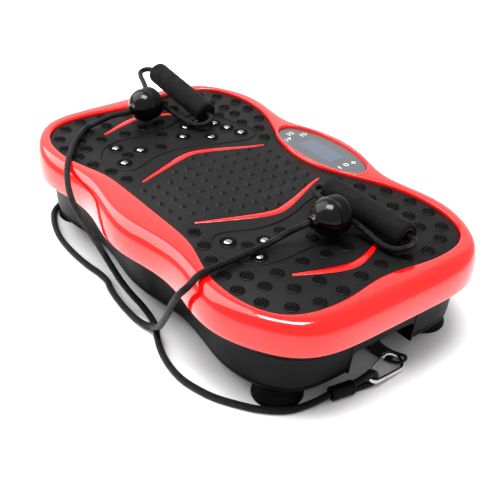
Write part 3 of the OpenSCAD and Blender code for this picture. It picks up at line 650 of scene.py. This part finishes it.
def slot_line(points, widths):
    """Even points along a slot, with its width, direction and side at each."""
    line = smooth_path([(x, y, 0) for x, y in points], 1.5)
    w = np.interp(np.linspace(0, 1, len(line)), np.linspace(0, 1, len(widths)), widths)
    tan = np.gradient(line, axis=0)
    tan /= np.linalg.norm(tan, axis=1)[:, None]
    return line, w, tan, np.stack([-tan[:, 1], tan[:, 0]], 1)


def blade(points, widths, top, bottom, crown):
    """Raised rib that fills a slot: a curved outline with a crowned top."""
    line, w, _, side = slot_line(points, widths)
    section = [(-1, bottom), (-1, top - 0.5), (-0.86, top - 0.1), (-0.5, top + 0.7 * crown),
               (0, top + crown), (0.5, top + 0.7 * crown), (0.86, top - 0.1), (1, top - 0.5),
               (1, bottom)]
    return loft_data([[(p[0] + q[0] * s * wide / 2, p[1] + q[1] * s * wide / 2, z) for s, z in section]
                      for p, q, wide in zip(line, side, w)])


def wall_of(points, widths, grow, z0, z1):
    """Upright cutter for the slot, grow mm wider all round."""
    line, w, tan, side = slot_line(points, widths)
    w = w / 2 + grow
    line[0] -= tan[0] * grow
    line[-1] += tan[-1] * grow
    rows = list(zip(line, side, w))
    ring = [(p[0] + q[0] * half, p[1] + q[1] * half) for p, q, half in rows]
    ring += [(p[0] - q[0] * half, p[1] - q[1] * half) for p, q, half in reversed(rows)]
    return upright(ring, z0, z1)


# Each slot is its line and its widths along it
INNER_SLOT = ([(56, 84), (62, 66), (70, 48), (79.5, 26), (87, 6), (89.5, -8), (87, -24), (79, -47),
               (71.5, -66), (64, -85), (57, -102)], [3, 5, 6.2, 7.2, 9.2, 9.8, 9.6, 7.8, 6.8, 5.2, 3])
OUTER_SLOT = ([(203, 44), (208.5, 33), (215, 18), (219.5, 4), (221.5, -9), (219.5, -24), (213, -43),
               (205, -62), (199, -76)], [4.5, 6.4, 7.6, 9.6, 10.4, 10, 8, 6.4, 4])


def make_ribs():
    """The four bowed red ribs that fill the mat's slots."""
    parts = [blade(*s, MAT_TOP + 0.1, 119.6, 0.5) for s in (INNER_SLOT, OUTER_SLOT)]
    return build("deck_ribs", *join(parts + [mirrored(p) for p in parts]), red_edge, sharp=50)


# ---- mat ------------------------------------------------------------------

NUBS = [
    (73, 99), (101, 111), (129, 102), (127, 131), (158, 111), (161, 137), (184, 111), (191, 137),
    (166, 89), (208, 103), (222, 125), (239, 104), (248, 75), (245, 45), (221, 48), (238, 13),
    (193, 6), (242, -19), (190, -22), (186, -52), (223, -60), (250, -52), (188, -87), (219, -90),
    (252, -84), (242, -112), (199, -112), (174, -116), (160, -135), (189, -139), (219, -132),
    (130, -130), (102, -120), (74, -114), (125, -33), (129, -81), (156, -13)]
MAGNETS = [(112, -95), (132, -60), (154, -84), (135, 8), (113, 39), (103, 81), (126, 74), (147, 67),
           (158, 27), (162, 51)]
ROWS = [2, 3, 3, 3, 4, 4, 3, 3, 2, 2, 2]
FOOT_LINE = [
    (87, 94), (82, 78), (86, 57), (93, 32), (102.6, 8), (108.5, -19), (108, -42), (102.5, -62),
    (95, -78), (91, -94), (96, -106), (107, -113), (120, -116), (135, -115), (148, -109), (158, -101),
    (167.6, -88), (172, -68), (171, -45), (170.5, -20), (172, 0), (178, 20), (184, 35), (188, 52),
    (184, 68), (172, 80), (154, 88), (134, 94), (114, 100), (98, 101)]


def spike(at, z0, height, r0, stretch=1.0, turn=0.0):
    """Small blunt cone, longer along its radius when stretched."""
    m = Matrix.Translation((*at, z0)) @ Matrix.Rotation(turn, 4, "Z") @ Matrix.Diagonal((stretch, 1, 1, 1))
    return lathe_data([(r0, -0.3), (r0 * 0.82, height * 0.45), (r0 * 0.5, height * 0.9), (0, height)],
                      8, m)


def spike_ring(count, radius, z0, height, r0, stretch, start=0.0):
    angles = [TAU * k / count + start for k in range(count)]
    return [spike((radius * math.cos(a), radius * math.sin(a)), z0, height, r0, stretch, a)
            for a in angles]


def nub_data():
    """Rosette: a low disc with one spike in the middle and two rings of them."""
    disc = lathe_data([(8.5, -0.4), (8.35, 0.35), (7.9, 0.8), (7.1, 1.0), (4.5, 1.05), (0, 1.1)], 32)
    return join([disc, spike((0, 0), 0.8, 1.7, 1.0), *spike_ring(6, 2.9, 0.8, 1.7, 0.85, 1.3, 0.2),
                 *spike_ring(12, 6.1, 0.7, 1.8, 0.85, 1.45)])


def boss_data():
    """Ringed socket of a magnet."""
    socket = lathe_data([(10.3, -0.4), (10.1, 0.4), (9.4, 0.9), (6.9, 1.0), (6.5, 2.1), (6.0, 2.3),
                         (5.6, 1.9), (5.6, -0.4)], 40)
    return join([socket, *spike_ring(15, 8.4, 0.7, 1.9, 0.95, 1.35)])


def pyramid_data():
    """Four-sided pyramid with a blunt tip and bevelled edges."""
    rings = []
    for h, z, corner in [(4.5, -0.3, 0.35), (4.35, 0.05, 0.4), (0.8, 2.2, 0.25), (0.45, 2.35, 0.15)]:
        c = h - corner
        rings.append([(h, c, z), (c, h, z), (-c, h, z), (-h, c, z), (-h, -c, z), (-c, -h, z), (c, -h, z),
                      (h, -c, z)])
    return loft_data(rings, start_cap=False)


def scattered(data, places):
    return join([moved(data, Matrix.Translation((x, y, MAT_TOP))) for x, y in places])


def both(places):
    return places + [(-x, y) for x, y in places]


def make_mat():
    top = [(0.8, 119.8), (0.6, 120.4), (0.6, 122.6), (0.9, 123.2), (1.6, 123.5)]
    sheet = build("massage_mat_sheet", *loft_data([mat_ring(d, z) for d, z in top]), mat_rubber)
    cutters = []
    for s in (INNER_SLOT, OUTER_SLOT):
        w = wall_of(*s, 0.35, 118, 126)
        cutters += [build("cutter", *w, mat_rubber), build("cutter", *mirrored(w), mat_rubber)]
    bore = [(0, 121.5), (5.7, 121.5), (5.7, 126), (0, 126)]
    for x, y in both(MAGNETS):
        hole = lathe_data(bore, 32, Matrix.Translation((x, y, 0)))
        cutters.append(build("cutter", *hole, mat_rubber))
    cut(sheet, cutters, 35)
    nubs = build("massage_nubs", *scattered(nub_data(), both(NUBS)), dark_rubber_and_painted_shade, sharp=40)
    bosses = build("magnet_bosses", *scattered(boss_data(), both(MAGNETS)), dark_rubber_and_painted_shade, sharp=40)
    places = [(19 * i, 78 - 19 * j) for j, n in enumerate(ROWS) for i in range(-n, n + 1)]
    # Painted shade: the pyramids take the darker rubber so their faces stand dark on the mat
    pyramids = build("grip_pyramids", *scattered(pyramid_data(), places), dark_rubber_and_painted_shade, sharp=25)
    # Painted shade: the outline ridge takes the darker rubber so it reads as a dark line
    line = smooth_path([(x, y, MAT_TOP - 0.25) for x, y in FOOT_LINE], 2.5, closed=True)
    v, f, _ = tube_data(line, 1.25, 8, closed=True)
    outlines = build("foot_outlines", *join([(v, f), mirrored((v, f))]), dark_rubber_and_painted_shade, sharp=60)
    return sheet, nubs, bosses, pyramids, outlines


def make_studs():
    dome = lathe_data([(5.4, -2), (5.4, 0.3), (5.2, 1.0), (4.6, 1.75), (3.5, 2.35), (1.9, 2.75),
                       (0, 2.9)], 40)
    return build("magnet_domes", *scattered(dome, both(MAGNETS)), chrome, sharp=60)


# ---- display --------------------------------------------------------------

PANEL_Z = 123.2


def arc_points(x, y, r, start, end, n=20):
    angles = [start + (end - start) * k / n for k in range(n + 1)]
    return [(x + r * math.cos(a), y + r * math.sin(a)) for a in angles]


def ring_band(x, y, r, w, start=0.0, end=TAU):
    """Open or closed ring of width w, as a flat outline."""
    inner = arc_points(x, y, r - w / 2, start, end)
    return arc_points(x, y, r + w / 2, start, end) + inner[::-1]


def bar(x, y, w, h):
    return [(x - w / 2, y - h / 2), (x + w / 2, y - h / 2), (x + w / 2, y + h / 2), (x - w / 2, y + h / 2)]


def make_display():
    """Clear panel, window and generic symbols."""
    rings = [oval(80.4, 31.8, 122.3), oval(80.4, 31.8, PANEL_Z - 0.5), oval(79.9, 31.3, PANEL_Z)]
    panel = build("display_panel", *loft_data(rings), glass_dark)
    cx, cy = DISPLAY
    z = PANEL_Z - 0.05
    corners = []
    for sx, sy, a0 in [(1, 1, 0), (-1, 1, 90), (-1, -1, 180), (1, -1, 270)]:
        start = math.radians(a0)
        corners += arc_points(cx + sx * 29, cy + sy * 11, 3, start, start + TAU / 4, 6)
    window = build("lcd_window", *upright(corners, z, z + 0.15), lcd)
    left = [(cx - 50, cy + 13), (cx - 62, cy), (cx - 50, cy - 13)]
    icons = [bar(x + 1, y - 6, 9, 0.9) for x, y in left]
    icons += [ring_band(cx - 50, cy + 13, 3.0, 0.9, math.radians(120), math.radians(420)),
              bar(cx - 50, cy + 15.6, 0.9, 3.6), ring_band(cx - 62, cy, 3.0, 0.9),
              [(cx - 52.6, cy - 15.4), (cx - 46.8, cy - 13), (cx - 52.6, cy - 9.6)],
              bar(cx + 50, cy + 12, 6.5, 1.5), bar(cx + 50, cy + 14.2, 1.5, 2.9),
              bar(cx + 50, cy + 9.8, 1.5, 2.9)]
    icons += [bar(cx + 49 + dx, cy + dy, w, h) for dx, dy, w, h in
              [(-2.6, 0, 1, 6.2), (2.6, 0, 1, 6.2), (0, 2.6, 4.2, 1), (0, -2.6, 4.2, 1)]]
    icons.append(bar(cx + 50, cy - 12, 6.5, 1.5))
    marks = build("panel_icons", *join([upright(i, z, z + 0.2) for i in icons]), icon_white, sharp=30)
    return panel, window, marks


# ---- base -----------------------------------------------------------------


def base_ring(z, dx, dy, n):
    return lobed(HALF_L - dx, HALF_W - dy, n, z)


def slab(points, shift, side):
    """Flat panel through the points, thickened by shift, at the end that side names."""
    return loft_data([[(side * (x + k * shift[0]), y + k * shift[1], z + k * shift[2]) for x, y, z in points]
                      for k in (0, 1)])


def make_base():
    """Tub with a grooved ledge, its end arches, and the liners behind them."""
    outer = [base_ring(*r) for r in [
        (22, 36, 34, 7), (22.1, 33, 31, 7), (22.9, 30.6, 28.6, 7), (24.2, 29, 27, 7), (26, 28.2, 26.2, 7),
        (29.2, 27.6, 25.6, 7), (29.6, 28.4, 26.4, 7), (30.4, 28.4, 26.4, 7), (30.8, 27.4, 25.4, 7),
        (48, 25.2, 23.7, 6.7), (64, 23.2, 22.2, 6.5), (68, 22.4, 21.4, 6.3), (70.5, 20.8, 19.8, 6),
        (72.6, 18.4, 17.6, 5.6), (74.6, 15.8, 15.2, 5.4), (77.5, 13, 12.5, 5.2), (81, 10.9, 10.6, 5.1),
        (85, 9.6, 9.5, 5), (91, 9, 9, 5), (97.4, 9, 9, 5), (98, 9.6, 9.6, 5)]]
    inner = [base_ring(*r) for r in [
        (98, 12.5, 12.5, 5), (85, 13.5, 13.5, 5), (76, 18, 17.5, 5.3), (68, 27, 26, 6.5),
        (48, 29, 27.5, 6.7), (25, 33, 31, 7)]]
    shell = build("base_shell", *loft_data(outer + inner), satin_black)
    arch = [(-49, 15), (49, 15), (48.4, 24), (46, 27), (46, 44), (44.8, 48.5), (41.5, 51.4), (37, 52.4),
            (-37, 52.4), (-41.5, 51.4), (-44.8, 48.5), (-46, 44), (-46, 27), (-48.4, 24)]
    cutters = []
    for s in (1, -1):
        rings = [[(s * x, y, z) for y, z in arch] for x in (225, 300)]
        cutters.append(build("cutter", *loft_data(rings), satin_black))
    cut(shell, cutters, 32)
    back = [(222, -49, 22.5), (222, 49, 22.5), (222, 49, 56), (222, -49, 56)]
    wall = [(222, 46.2, 23), (266.5, 46.2, 23), (271, 46.2, 62), (222, 46.2, 62)]
    roof = [(222, -49, 52.6), (269.5, -49, 52.6), (269.5, 49, 52.6), (222, 49, 52.6)]
    parts = []
    for s in (1, -1):
        parts.append(slab(back, (2.8, 0, 0), s))
        for side in (-1, 1):
            parts.append(slab([(x, side * y, z) for x, y, z in wall], (0, side * 2.6, 0), s))
        parts.append(slab(roof, (0, 0, 2.6), s))
    liner = build("arch_liners", *join(parts), satin_black, sharp=30)
    return shell, liner


def make_feet():
    """Four suction cups, each with two raised rings round its neck."""
    profile = rounded([(0, 6), (10, 5), (19, 2.6), (24.4, 0.3), (28.3, 0.0), (28.7, 1.2), (27.6, 4.4),
                       (24.6, 8.2), (22.8, 12.4), (23.0, 16.5), (25.4, 21.8), (3, 21.8)], 1.4, 3)
    spots = [(sx * 226, sy * 110) for sx in (1, -1) for sy in (1, -1)]
    parts = [lathe_data(profile, 72, Matrix.Translation((x, y, 0))) for x, y in spots]
    for x, y in spots:
        for h, r in ((15.0, 23.1), (18.2, 24.2)):
            ring = [(*q, h) for q in arc_points(x, y, r, 0.0, TAU, 64)[:-1]]
            v, f, _ = tube_data(np.array(ring), 0.7, 6, closed=True)
            parts.append((v, f))
    return build("suction_cups", *join(parts), foot_rubber, sharp=50)


# ---- stoppers and grips ---------------------------------------------------


BALL_R = 22.5


def make_stopper(side, at, turn, holes):
    """Polished front half with the band's collar, matte rear half, and a collar round each strand."""
    m = (Matrix.Translation(at) @ Matrix.Rotation(math.radians(turn), 4, "Z")
         @ Matrix.Rotation(math.radians(90), 4, "Y"))
    front = [(4.4, -26), (5.9, -26), (6.5, -25.4), (6.5, -23.6), (7.2, -22.2)]
    front += [(BALL_R * math.sin(math.radians(a)), -BALL_R * math.cos(math.radians(a)))
              for a in range(22, 88, 3)]
    front += [(22.5, -0.6), (22.2, -0.15), (21.4, 0.0), (19.5, 0.0), (19.5, -2)]
    ball = build(f"stopper_ball_{side}", *lathe_data(front, 96, m), gloss_black, sharp=50)
    back = [(19.0, 0.9), (20.7, 0.9), (21.4, 1.2), (21.85, 2.0), (21.9, 6), (21.75, 11), (21.4, 13.6),
            (20.5, 15.4), (18.9, 16.6), (16.6, 17.0), (13, 17.0), (11.9, 16.7), (10.8, 16.2), (0, 16.1)]
    cap = build(f"stopper_rear_{side}", *lathe_data(back, 96, m), matte_black, sharp=50)
    collar = [(3.7, -0.4), (3.7, 0.9), (4.2, 1.3), (5.1, 1.2), (5.5, 0.6), (5.6, -0.2)]
    rings = [lathe_data(collar, 32, m @ Matrix.Translation((x, y, 16.0))) for x, y in holes]
    collars = build(f"cord_collars_{side}", *join(rings), gloss_black, sharp=60)
    return ball, cap, collars


def grip_profile(length):
    """Foam tube with rounded ends and a faint unevenness along it."""
    h = length / 2
    outer = [(9.3, -h + 4), (9.3, -h + 1.2), (10.2, -h + 0.2), (11.8, -h), (13.2, -h + 0.35),
             (14.3, -h + 1.3), (14.9, -h + 2.8), (15.05, -h + 5)]
    ends = [(r, -z) for r, z in reversed(outer)]
    middle = [(15.0 + 0.12 * math.sin(k * 1.7), -h + 5 + (length - 10) * k / 30) for k in range(1, 30)]
    return outer + middle + ends


def make_grip(side, seed, centre, rise):
    """Foam grip with soft dents, and the plastic tube inside it."""
    m = Matrix.Translation(centre) @ Matrix.Rotation(math.radians(90 + rise), 4, "Y")
    v, f = lathe_data(grip_profile(128), 72)
    soft = np.random.default_rng(seed).normal(size=(24, 3))
    shaped = []
    for x, y, z in v:
        a = math.atan2(y, x)
        dent = sum(math.sin(0.05 * z * s[0] + 2 * a * round(s[1]) + 3 * s[2]) for s in soft) * 0.012
        k = 1 + dent / 15
        shaped.append((x * k, y * k, z))
    foam_piece = build(f"foam_grip_{side}", *moved((shaped, f), m), foam, sharp=60)
    inner = [(6.9, -63.2), (6.9, 63.2), (7.3, 63.7), (8.3, 63.7), (8.95, 63.2), (8.95, -63.2),
             (8.3, -63.7), (7.3, -63.7), (6.9, -63.2)]
    core = build(f"grip_tube_{side}", *lathe_data(inner, 64, m), tube_black, sharp=40)
    return foam_piece, core


# ---- hardware at the two ends ---------------------------------------------

HOOK = (Matrix.Translation((271.6, 4, 7.8)) @ Matrix.Rotation(math.radians(101.2), 4, "Z")
        @ Matrix.Rotation(math.radians(5), 4, "Y") @ Matrix.Rotation(math.radians(14), 4, "X"))
TIP_R, TAIL_R, TIP_X, TAIL_X = 12.0, 7.0, 16.5, -21.5
LEAN = math.asin((TIP_R - TAIL_R) / (TIP_X - TAIL_X))


def on_arc(x, r, start, end, steps):
    return [(*q, 0.0) for q in arc_points(x, 0.0, r, start, end, steps)]


GATE_FROM = Vector((TAIL_X - TAIL_R * math.sin(LEAN), TAIL_R * math.cos(LEAN), 0))
GATE_ALONG = Vector((math.cos(LEAN), math.sin(LEAN), 0))
GATE_L = (TIP_X - TAIL_X) * math.cos(LEAN)


def hook_data():
    """Hook's wire: small bend at the strap, large bend at the nose, open on the gate's side."""
    start = [GATE_FROM + GATE_ALONG * k for k in (4.6, 3.6, 2.6, 1.3)]
    nose = TIP_X - TIP_R * math.sin(LEAN), TIP_R * math.cos(LEAN)
    end = [Vector((nose[0], nose[1], 0)) - GATE_ALONG * k for k in (1.2, 2.4, 3.6, 4.6)]
    tail = on_arc(TAIL_X, TAIL_R, math.pi / 2 + LEAN, 1.5 * math.pi - LEAN, 20)
    tip = on_arc(TIP_X, TIP_R, LEAN - math.pi / 2, math.pi / 2 + LEAN, 30)
    path = smooth_path([*map(tuple, start), *tail, *tip, *map(tuple, end)], 0.9)
    radius = np.full(len(path), 2.5)
    radius[-5:] = [2.7, 2.95, 3.0, 2.8, 1.9]
    radius[:4] = [2.0, 2.35, 2.5, 2.5]
    return tube_data(path, radius, 20)[:2]


def on_gate(s, off, z):
    """Point s along the gate's closed line, off to its side and z above it."""
    side = Vector((-GATE_ALONG.y, GATE_ALONG.x, 0))
    return tuple(GATE_FROM + GATE_ALONG * s + side * off + Vector((0, 0, z)))


def gate_data():
    """Gate of two close wires joined at the nose, a fine coil round them, and the hinge's pin."""
    end = GATE_L - 4.7
    wire = [(7.6, -1.25), (14, -1.25), (22, -1.2), (end - 2.2, -1.2), (end - 0.7, -0.85), (end - 0.1, 0),
            (end - 0.7, 0.85), (end - 2.2, 1.2), (22, 1.2), (14, 1.25), (7.6, 1.25)]
    coil = []
    for k in range(140):
        a = TAU * k / 10
        coil.append(on_gate(9.5 + (end - 13.5) * k / 139, 1.25 * math.cos(a), 0.62 * math.sin(a)))
    pin = np.array([on_gate(7.6, 0, z) for z in (-3.2, -2.9, 2.9, 3.2)])
    return join([tube_data(smooth_path([on_gate(s, 0, z) for s, z in wire], 0.7), 0.95, 12)[:2],
                 tube_data(np.array(coil), 0.32, 6)[:2],
                 tube_data(pin, [0.9, 1.2, 1.2, 0.9], 14)[:2]])


STRAP_LINE = [(1.6, 48), (1.6, 38), (1.6, 22), (2.6, 13), (6, 6), (11, 2.6), (18, 1.7), (28, 1.7),
              (35, 3), (50, 7.4)]
STRAP = Matrix.Translation((227.6, 24, 0)) @ Matrix.Rotation(math.radians(11.5), 4, "Z")
EYE_S = 39.5
STRAP_HALF, EYELET_R = 10, 6.6


def strap_data():
    """Strap from under the arch to its eyelet: a flat grid, then rings round the hole."""
    line = smooth_path([(s, 0, z) for s, z in STRAP_LINE], 0.8)
    lengths = np.concatenate([[0], np.cumsum(np.linalg.norm(np.diff(line, axis=0), axis=1))])
    eye_at = float(np.interp(EYE_S, line[10:, 0], lengths[10:]))
    rows = list(np.arange(0, eye_at - STRAP_HALF - 0.01, 1.5)) + [eye_at - STRAP_HALF]
    ys = [-STRAP_HALF, -9.2, -5, 0, 5, 9.2, STRAP_HALF]
    quads = [((a, y0), (b, y0), (b, y1), (a, y1))
             for a, b in zip(rows, rows[1:]) for y0, y1 in zip(ys, ys[1:])]
    n = 48
    for k in range(n):
        pts = []
        for a in (TAU * k / n, TAU * (k + 1) / n):
            c, s = math.cos(a), math.sin(a)
            edge = STRAP_HALF if c >= 0 else STRAP_HALF / max(abs(c), abs(s))
            pts.append([(eye_at + r * c, r * s) for r in (EYELET_R, 8, edge)])
        (i0, m0, o0), (i1, m1, o1) = pts
        quads += [(i0, m0, m1, i1), (m0, o0, o1, m1)]
    keys, verts, faces, uvs = {}, [], [], []
    for q in quads:
        ids = []
        for l, y in q:
            key = (round(l, 3), round(y, 3))
            if key not in keys:
                keys[key] = len(verts)
                verts.append((l, y))
                uvs.append((l * MM, (y + STRAP_HALF) / (2 * STRAP_HALF)))
            ids.append(keys[key])
        faces.append(ids)
    points = [(np.interp(l, lengths, line[:, 0]), y, np.interp(l, lengths, line[:, 2])) for l, y in verts]
    return points, faces, uvs


def make_strap(side):
    pts, faces, uvs = strap_data()
    pts = [tuple(STRAP @ Vector(p)) for p in pts]
    if side < 0:
        pts = [(-x, y, z) for x, y, z in pts]
    name = "right" if side > 0 else "left"
    o = build(f"anchor_strap_{name}", pts, faces, webbing, uvs=uvs, sharp=60)
    mod = o.modifiers.new("thick", "SOLIDIFY")
    mod.thickness, mod.offset = 2.2 * MM, 0.0
    soft = o.modifiers.new("soft", "BEVEL")
    soft.width, soft.segments, soft.limit_method = 0.5 * MM, 2, "ANGLE"
    applied(o, 50)
    return o


SLEEVE = Matrix.Translation((268.4, -72.5, 0)) @ Matrix.Rotation(math.radians(79.6), 4, "Z")
EYE_LINE = [(-1, 4.4), (4, 4.2), (8, 4.0), (16, 3.95), (21, 3.95), (26.2, 6.1), (28.4, 11.3), (26.2, 16.5),
            (21, 18.7), (14.5, 16.5), (7, 13.2), (0, 12.1), (-2, 12)]


def sleeve_data():
    profile = rounded([(3.2, 0.6), (6.9, 0.0), (7.9, 1.0), (8.0, 4), (7.7, 9), (7.95, 14), (7.7, 19),
                       (8.0, 24), (7.9, 27), (6.9, 28), (3.2, 27.4)], 0.8, 3)
    m = SLEEVE @ Matrix.Translation((0, 0, 8.2)) @ Matrix.Rotation(math.radians(90), 4, "Y")
    return lathe_data(profile, 56, m)


def eye_path():
    return smooth_path([tuple(SLEEVE @ Vector((28.2 + s, 0, z + 0.1))) for s, z in EYE_LINE], 1.0)


# ---- assembly -------------------------------------------------------------

sleeves, eyes = {}, {}
for label, s in (("right", 1), ("left", -1)):
    flip = (lambda d: d) if s > 0 else mirrored
    hook = build(f"snap_hook_{label}", *flip(moved(hook_data(), HOOK)), steel, sharp=50)
    finished(hook, "base", "bright_steel", f"carabiner_{label}")
    gate = build(f"snap_gate_{label}", *flip(moved(gate_data(), HOOK)), steel, sharp=50)
    finished(gate, f"gate_{label}_body", "bright_steel", f"gate_{label}")
    sleeves[label] = build(f"band_sleeve_{label}", *flip(sleeve_data()), sleeve_black, sharp=50)
    finished(sleeves[label], "base", "sleeve", f"crimp_sleeve_{label}")
    path = eye_path()
    if s < 0:
        path[:, 0] *= -1
    eyes[label] = tube(f"band_loop_{label}", path, BAND_D / 2, band_cover)
    finished(eyes[label], "base", "cord", f"band_eye_{label}")
    finished(make_strap(s), "base", "webbing", f"strap_{label}")

# Each band ends at the far end of the plate
for label, route, far in (("left", left_band, "right"), ("right", right_band, "left")):
    band = free_cord(f"elastic_band_{label}", route, BAND_D, band_cover)
    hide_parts(f"band_{label}")
    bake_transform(band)
for label, route in (("right", right_loop), ("left", left_loop)):
    loop = free_cord(f"handle_loop_{label}", route, LOOP_D, loop_cover)
    finished(loop, "deck", "cord", f"handle_cord_{label}")

finished(make_shell(), "deck", "red_shell", "top_shell")
finished(make_display_rim(), "deck", "red_shell")
finished(make_ribs(), "deck", "red_shell")
sheet, *raised = make_mat()
finished(sheet, "deck", "mat_rubber", "massage_mat")
for o in raised:
    finished(o, "deck", "mat_rubber")
finished(make_studs(), "deck", "stud_chrome", "magnet_studs")
panel, window, marks = make_display()
finished(panel, "deck", "panel_glass", "display_lens")
finished(window, "deck", "panel_glass")
finished(marks, "deck", "panel_glass")
shell, liner = make_base()
finished(shell, "base", "black_shell", "base_housing")
finished(liner, "base", "black_shell")
finished(make_feet(), "base", "foot_rubber", "suction_feet")

for label, at, turn, holes in (("left", (-202, -10, 150), 103.3, [(4, -8), (-2, 8)]),
                               ("right", (165, 3, 150), 85.0, [(6, -8), (3, 8)])):
    ball, cap, collars = make_stopper(label, at, turn, holes)
    finished(ball, "deck", "stopper_gloss", f"stopper_shell_{label}")
    finished(cap, "deck", "stopper_matte", f"stopper_cap_{label}")
    finished(collars, "deck", "stopper_gloss")
for label, seed, centre, rise in (("left", 7, (-210, 55, 150.5), 8),
                                  ("right", 11, (170, 55.5, 141.6), 0)):
    foam_piece, core = make_grip(label, seed, centre, rise)
    finished(foam_piece, f"grip_{label}", "foam", f"grip_foam_{label}")
    finished(core, f"grip_{label}", "tube", f"grip_core_{label}")

by_slot = {
    "black_shell": satin_black, "foot_rubber": foot_rubber, "frame_steel": frame_paint,
    "bright_steel": steel, "pulley": pulley_metal, "bronze": bronze, "motor_can": motor_paint,
    "belt_rubber": foot_rubber, "board": board_green, "inlet": matte_black, "switch": switch_red,
    "cord": loop_cover, "panel_glass": glass_dark, "red_shell": red, "mat_rubber": mat_rubber,
    "stud_chrome": chrome, "webbing": webbing, "sleeve": sleeve_black, "stopper_gloss": gloss_black,
    "stopper_matte": matte_black, "foam": foam, "tube": tube_black}
slot_of = {row["node"]: row["material_slot"] for row in frame["record"]["subparts"]}
for name, o in frame["nodes"].items():
    for spot in o.material_slots:
        spot.material = by_slot[slot_of[name]]

# ---- floor, light ---------------------------------------------------------

FLOOR_HALF = 12
floor_mat = plain("floor_white", (0.93, 0.93, 0.93), 0.9)[0]
floor_mesh = bpy.data.meshes.new("floor")
corners = [(x * FLOOR_HALF, y * FLOOR_HALF, 0) for x, y in ((-1, -1), (1, -1), (1, 1), (-1, 1))]
floor_mesh.from_pydata(corners, [], [(0, 1, 2, 3)])
floor_mesh.materials.append(floor_mat)
floor = bpy.data.objects.new("floor", floor_mesh)
bpy.context.scene.collection.objects.link(floor)


def panel_light(name, at, target, width, height, strength):
    data = bpy.data.lights.new(name, "AREA")
    data.shape, data.size, data.size_y, data.energy = "RECTANGLE", width, height, strength
    o = bpy.data.objects.new(name, data)
    o.location = at
    o.rotation_mode = "QUATERNION"
    o.rotation_quaternion = (Vector(target) - Vector(at)).to_track_quat("-Z", "Y")
    bpy.context.scene.collection.objects.link(o)


world = bpy.data.worlds.new("world")
bpy.context.scene.world = world
world.use_nodes = True
background = world.node_tree.nodes["Background"]
background.inputs["Color"].default_value = (1, 1, 1, 1)
background.inputs["Strength"].default_value = 0.6
panel_light("key", (-1.35, -0.85, 1.75), (0, 0, 0.1), 2.3, 2.3, 34)
panel_light("back", (-1.9, 1.7, 1.15), (0, 0, 0.1), 4.0, 2.0, 5)
panel_light("top", (0.2, -0.3, 2.8), (0, 0, 0.0), 1.6, 1.2, 60)
bpy.context.scene.view_settings.view_transform = "Standard"
bpy.context.scene.view_settings.look = "High Contrast"
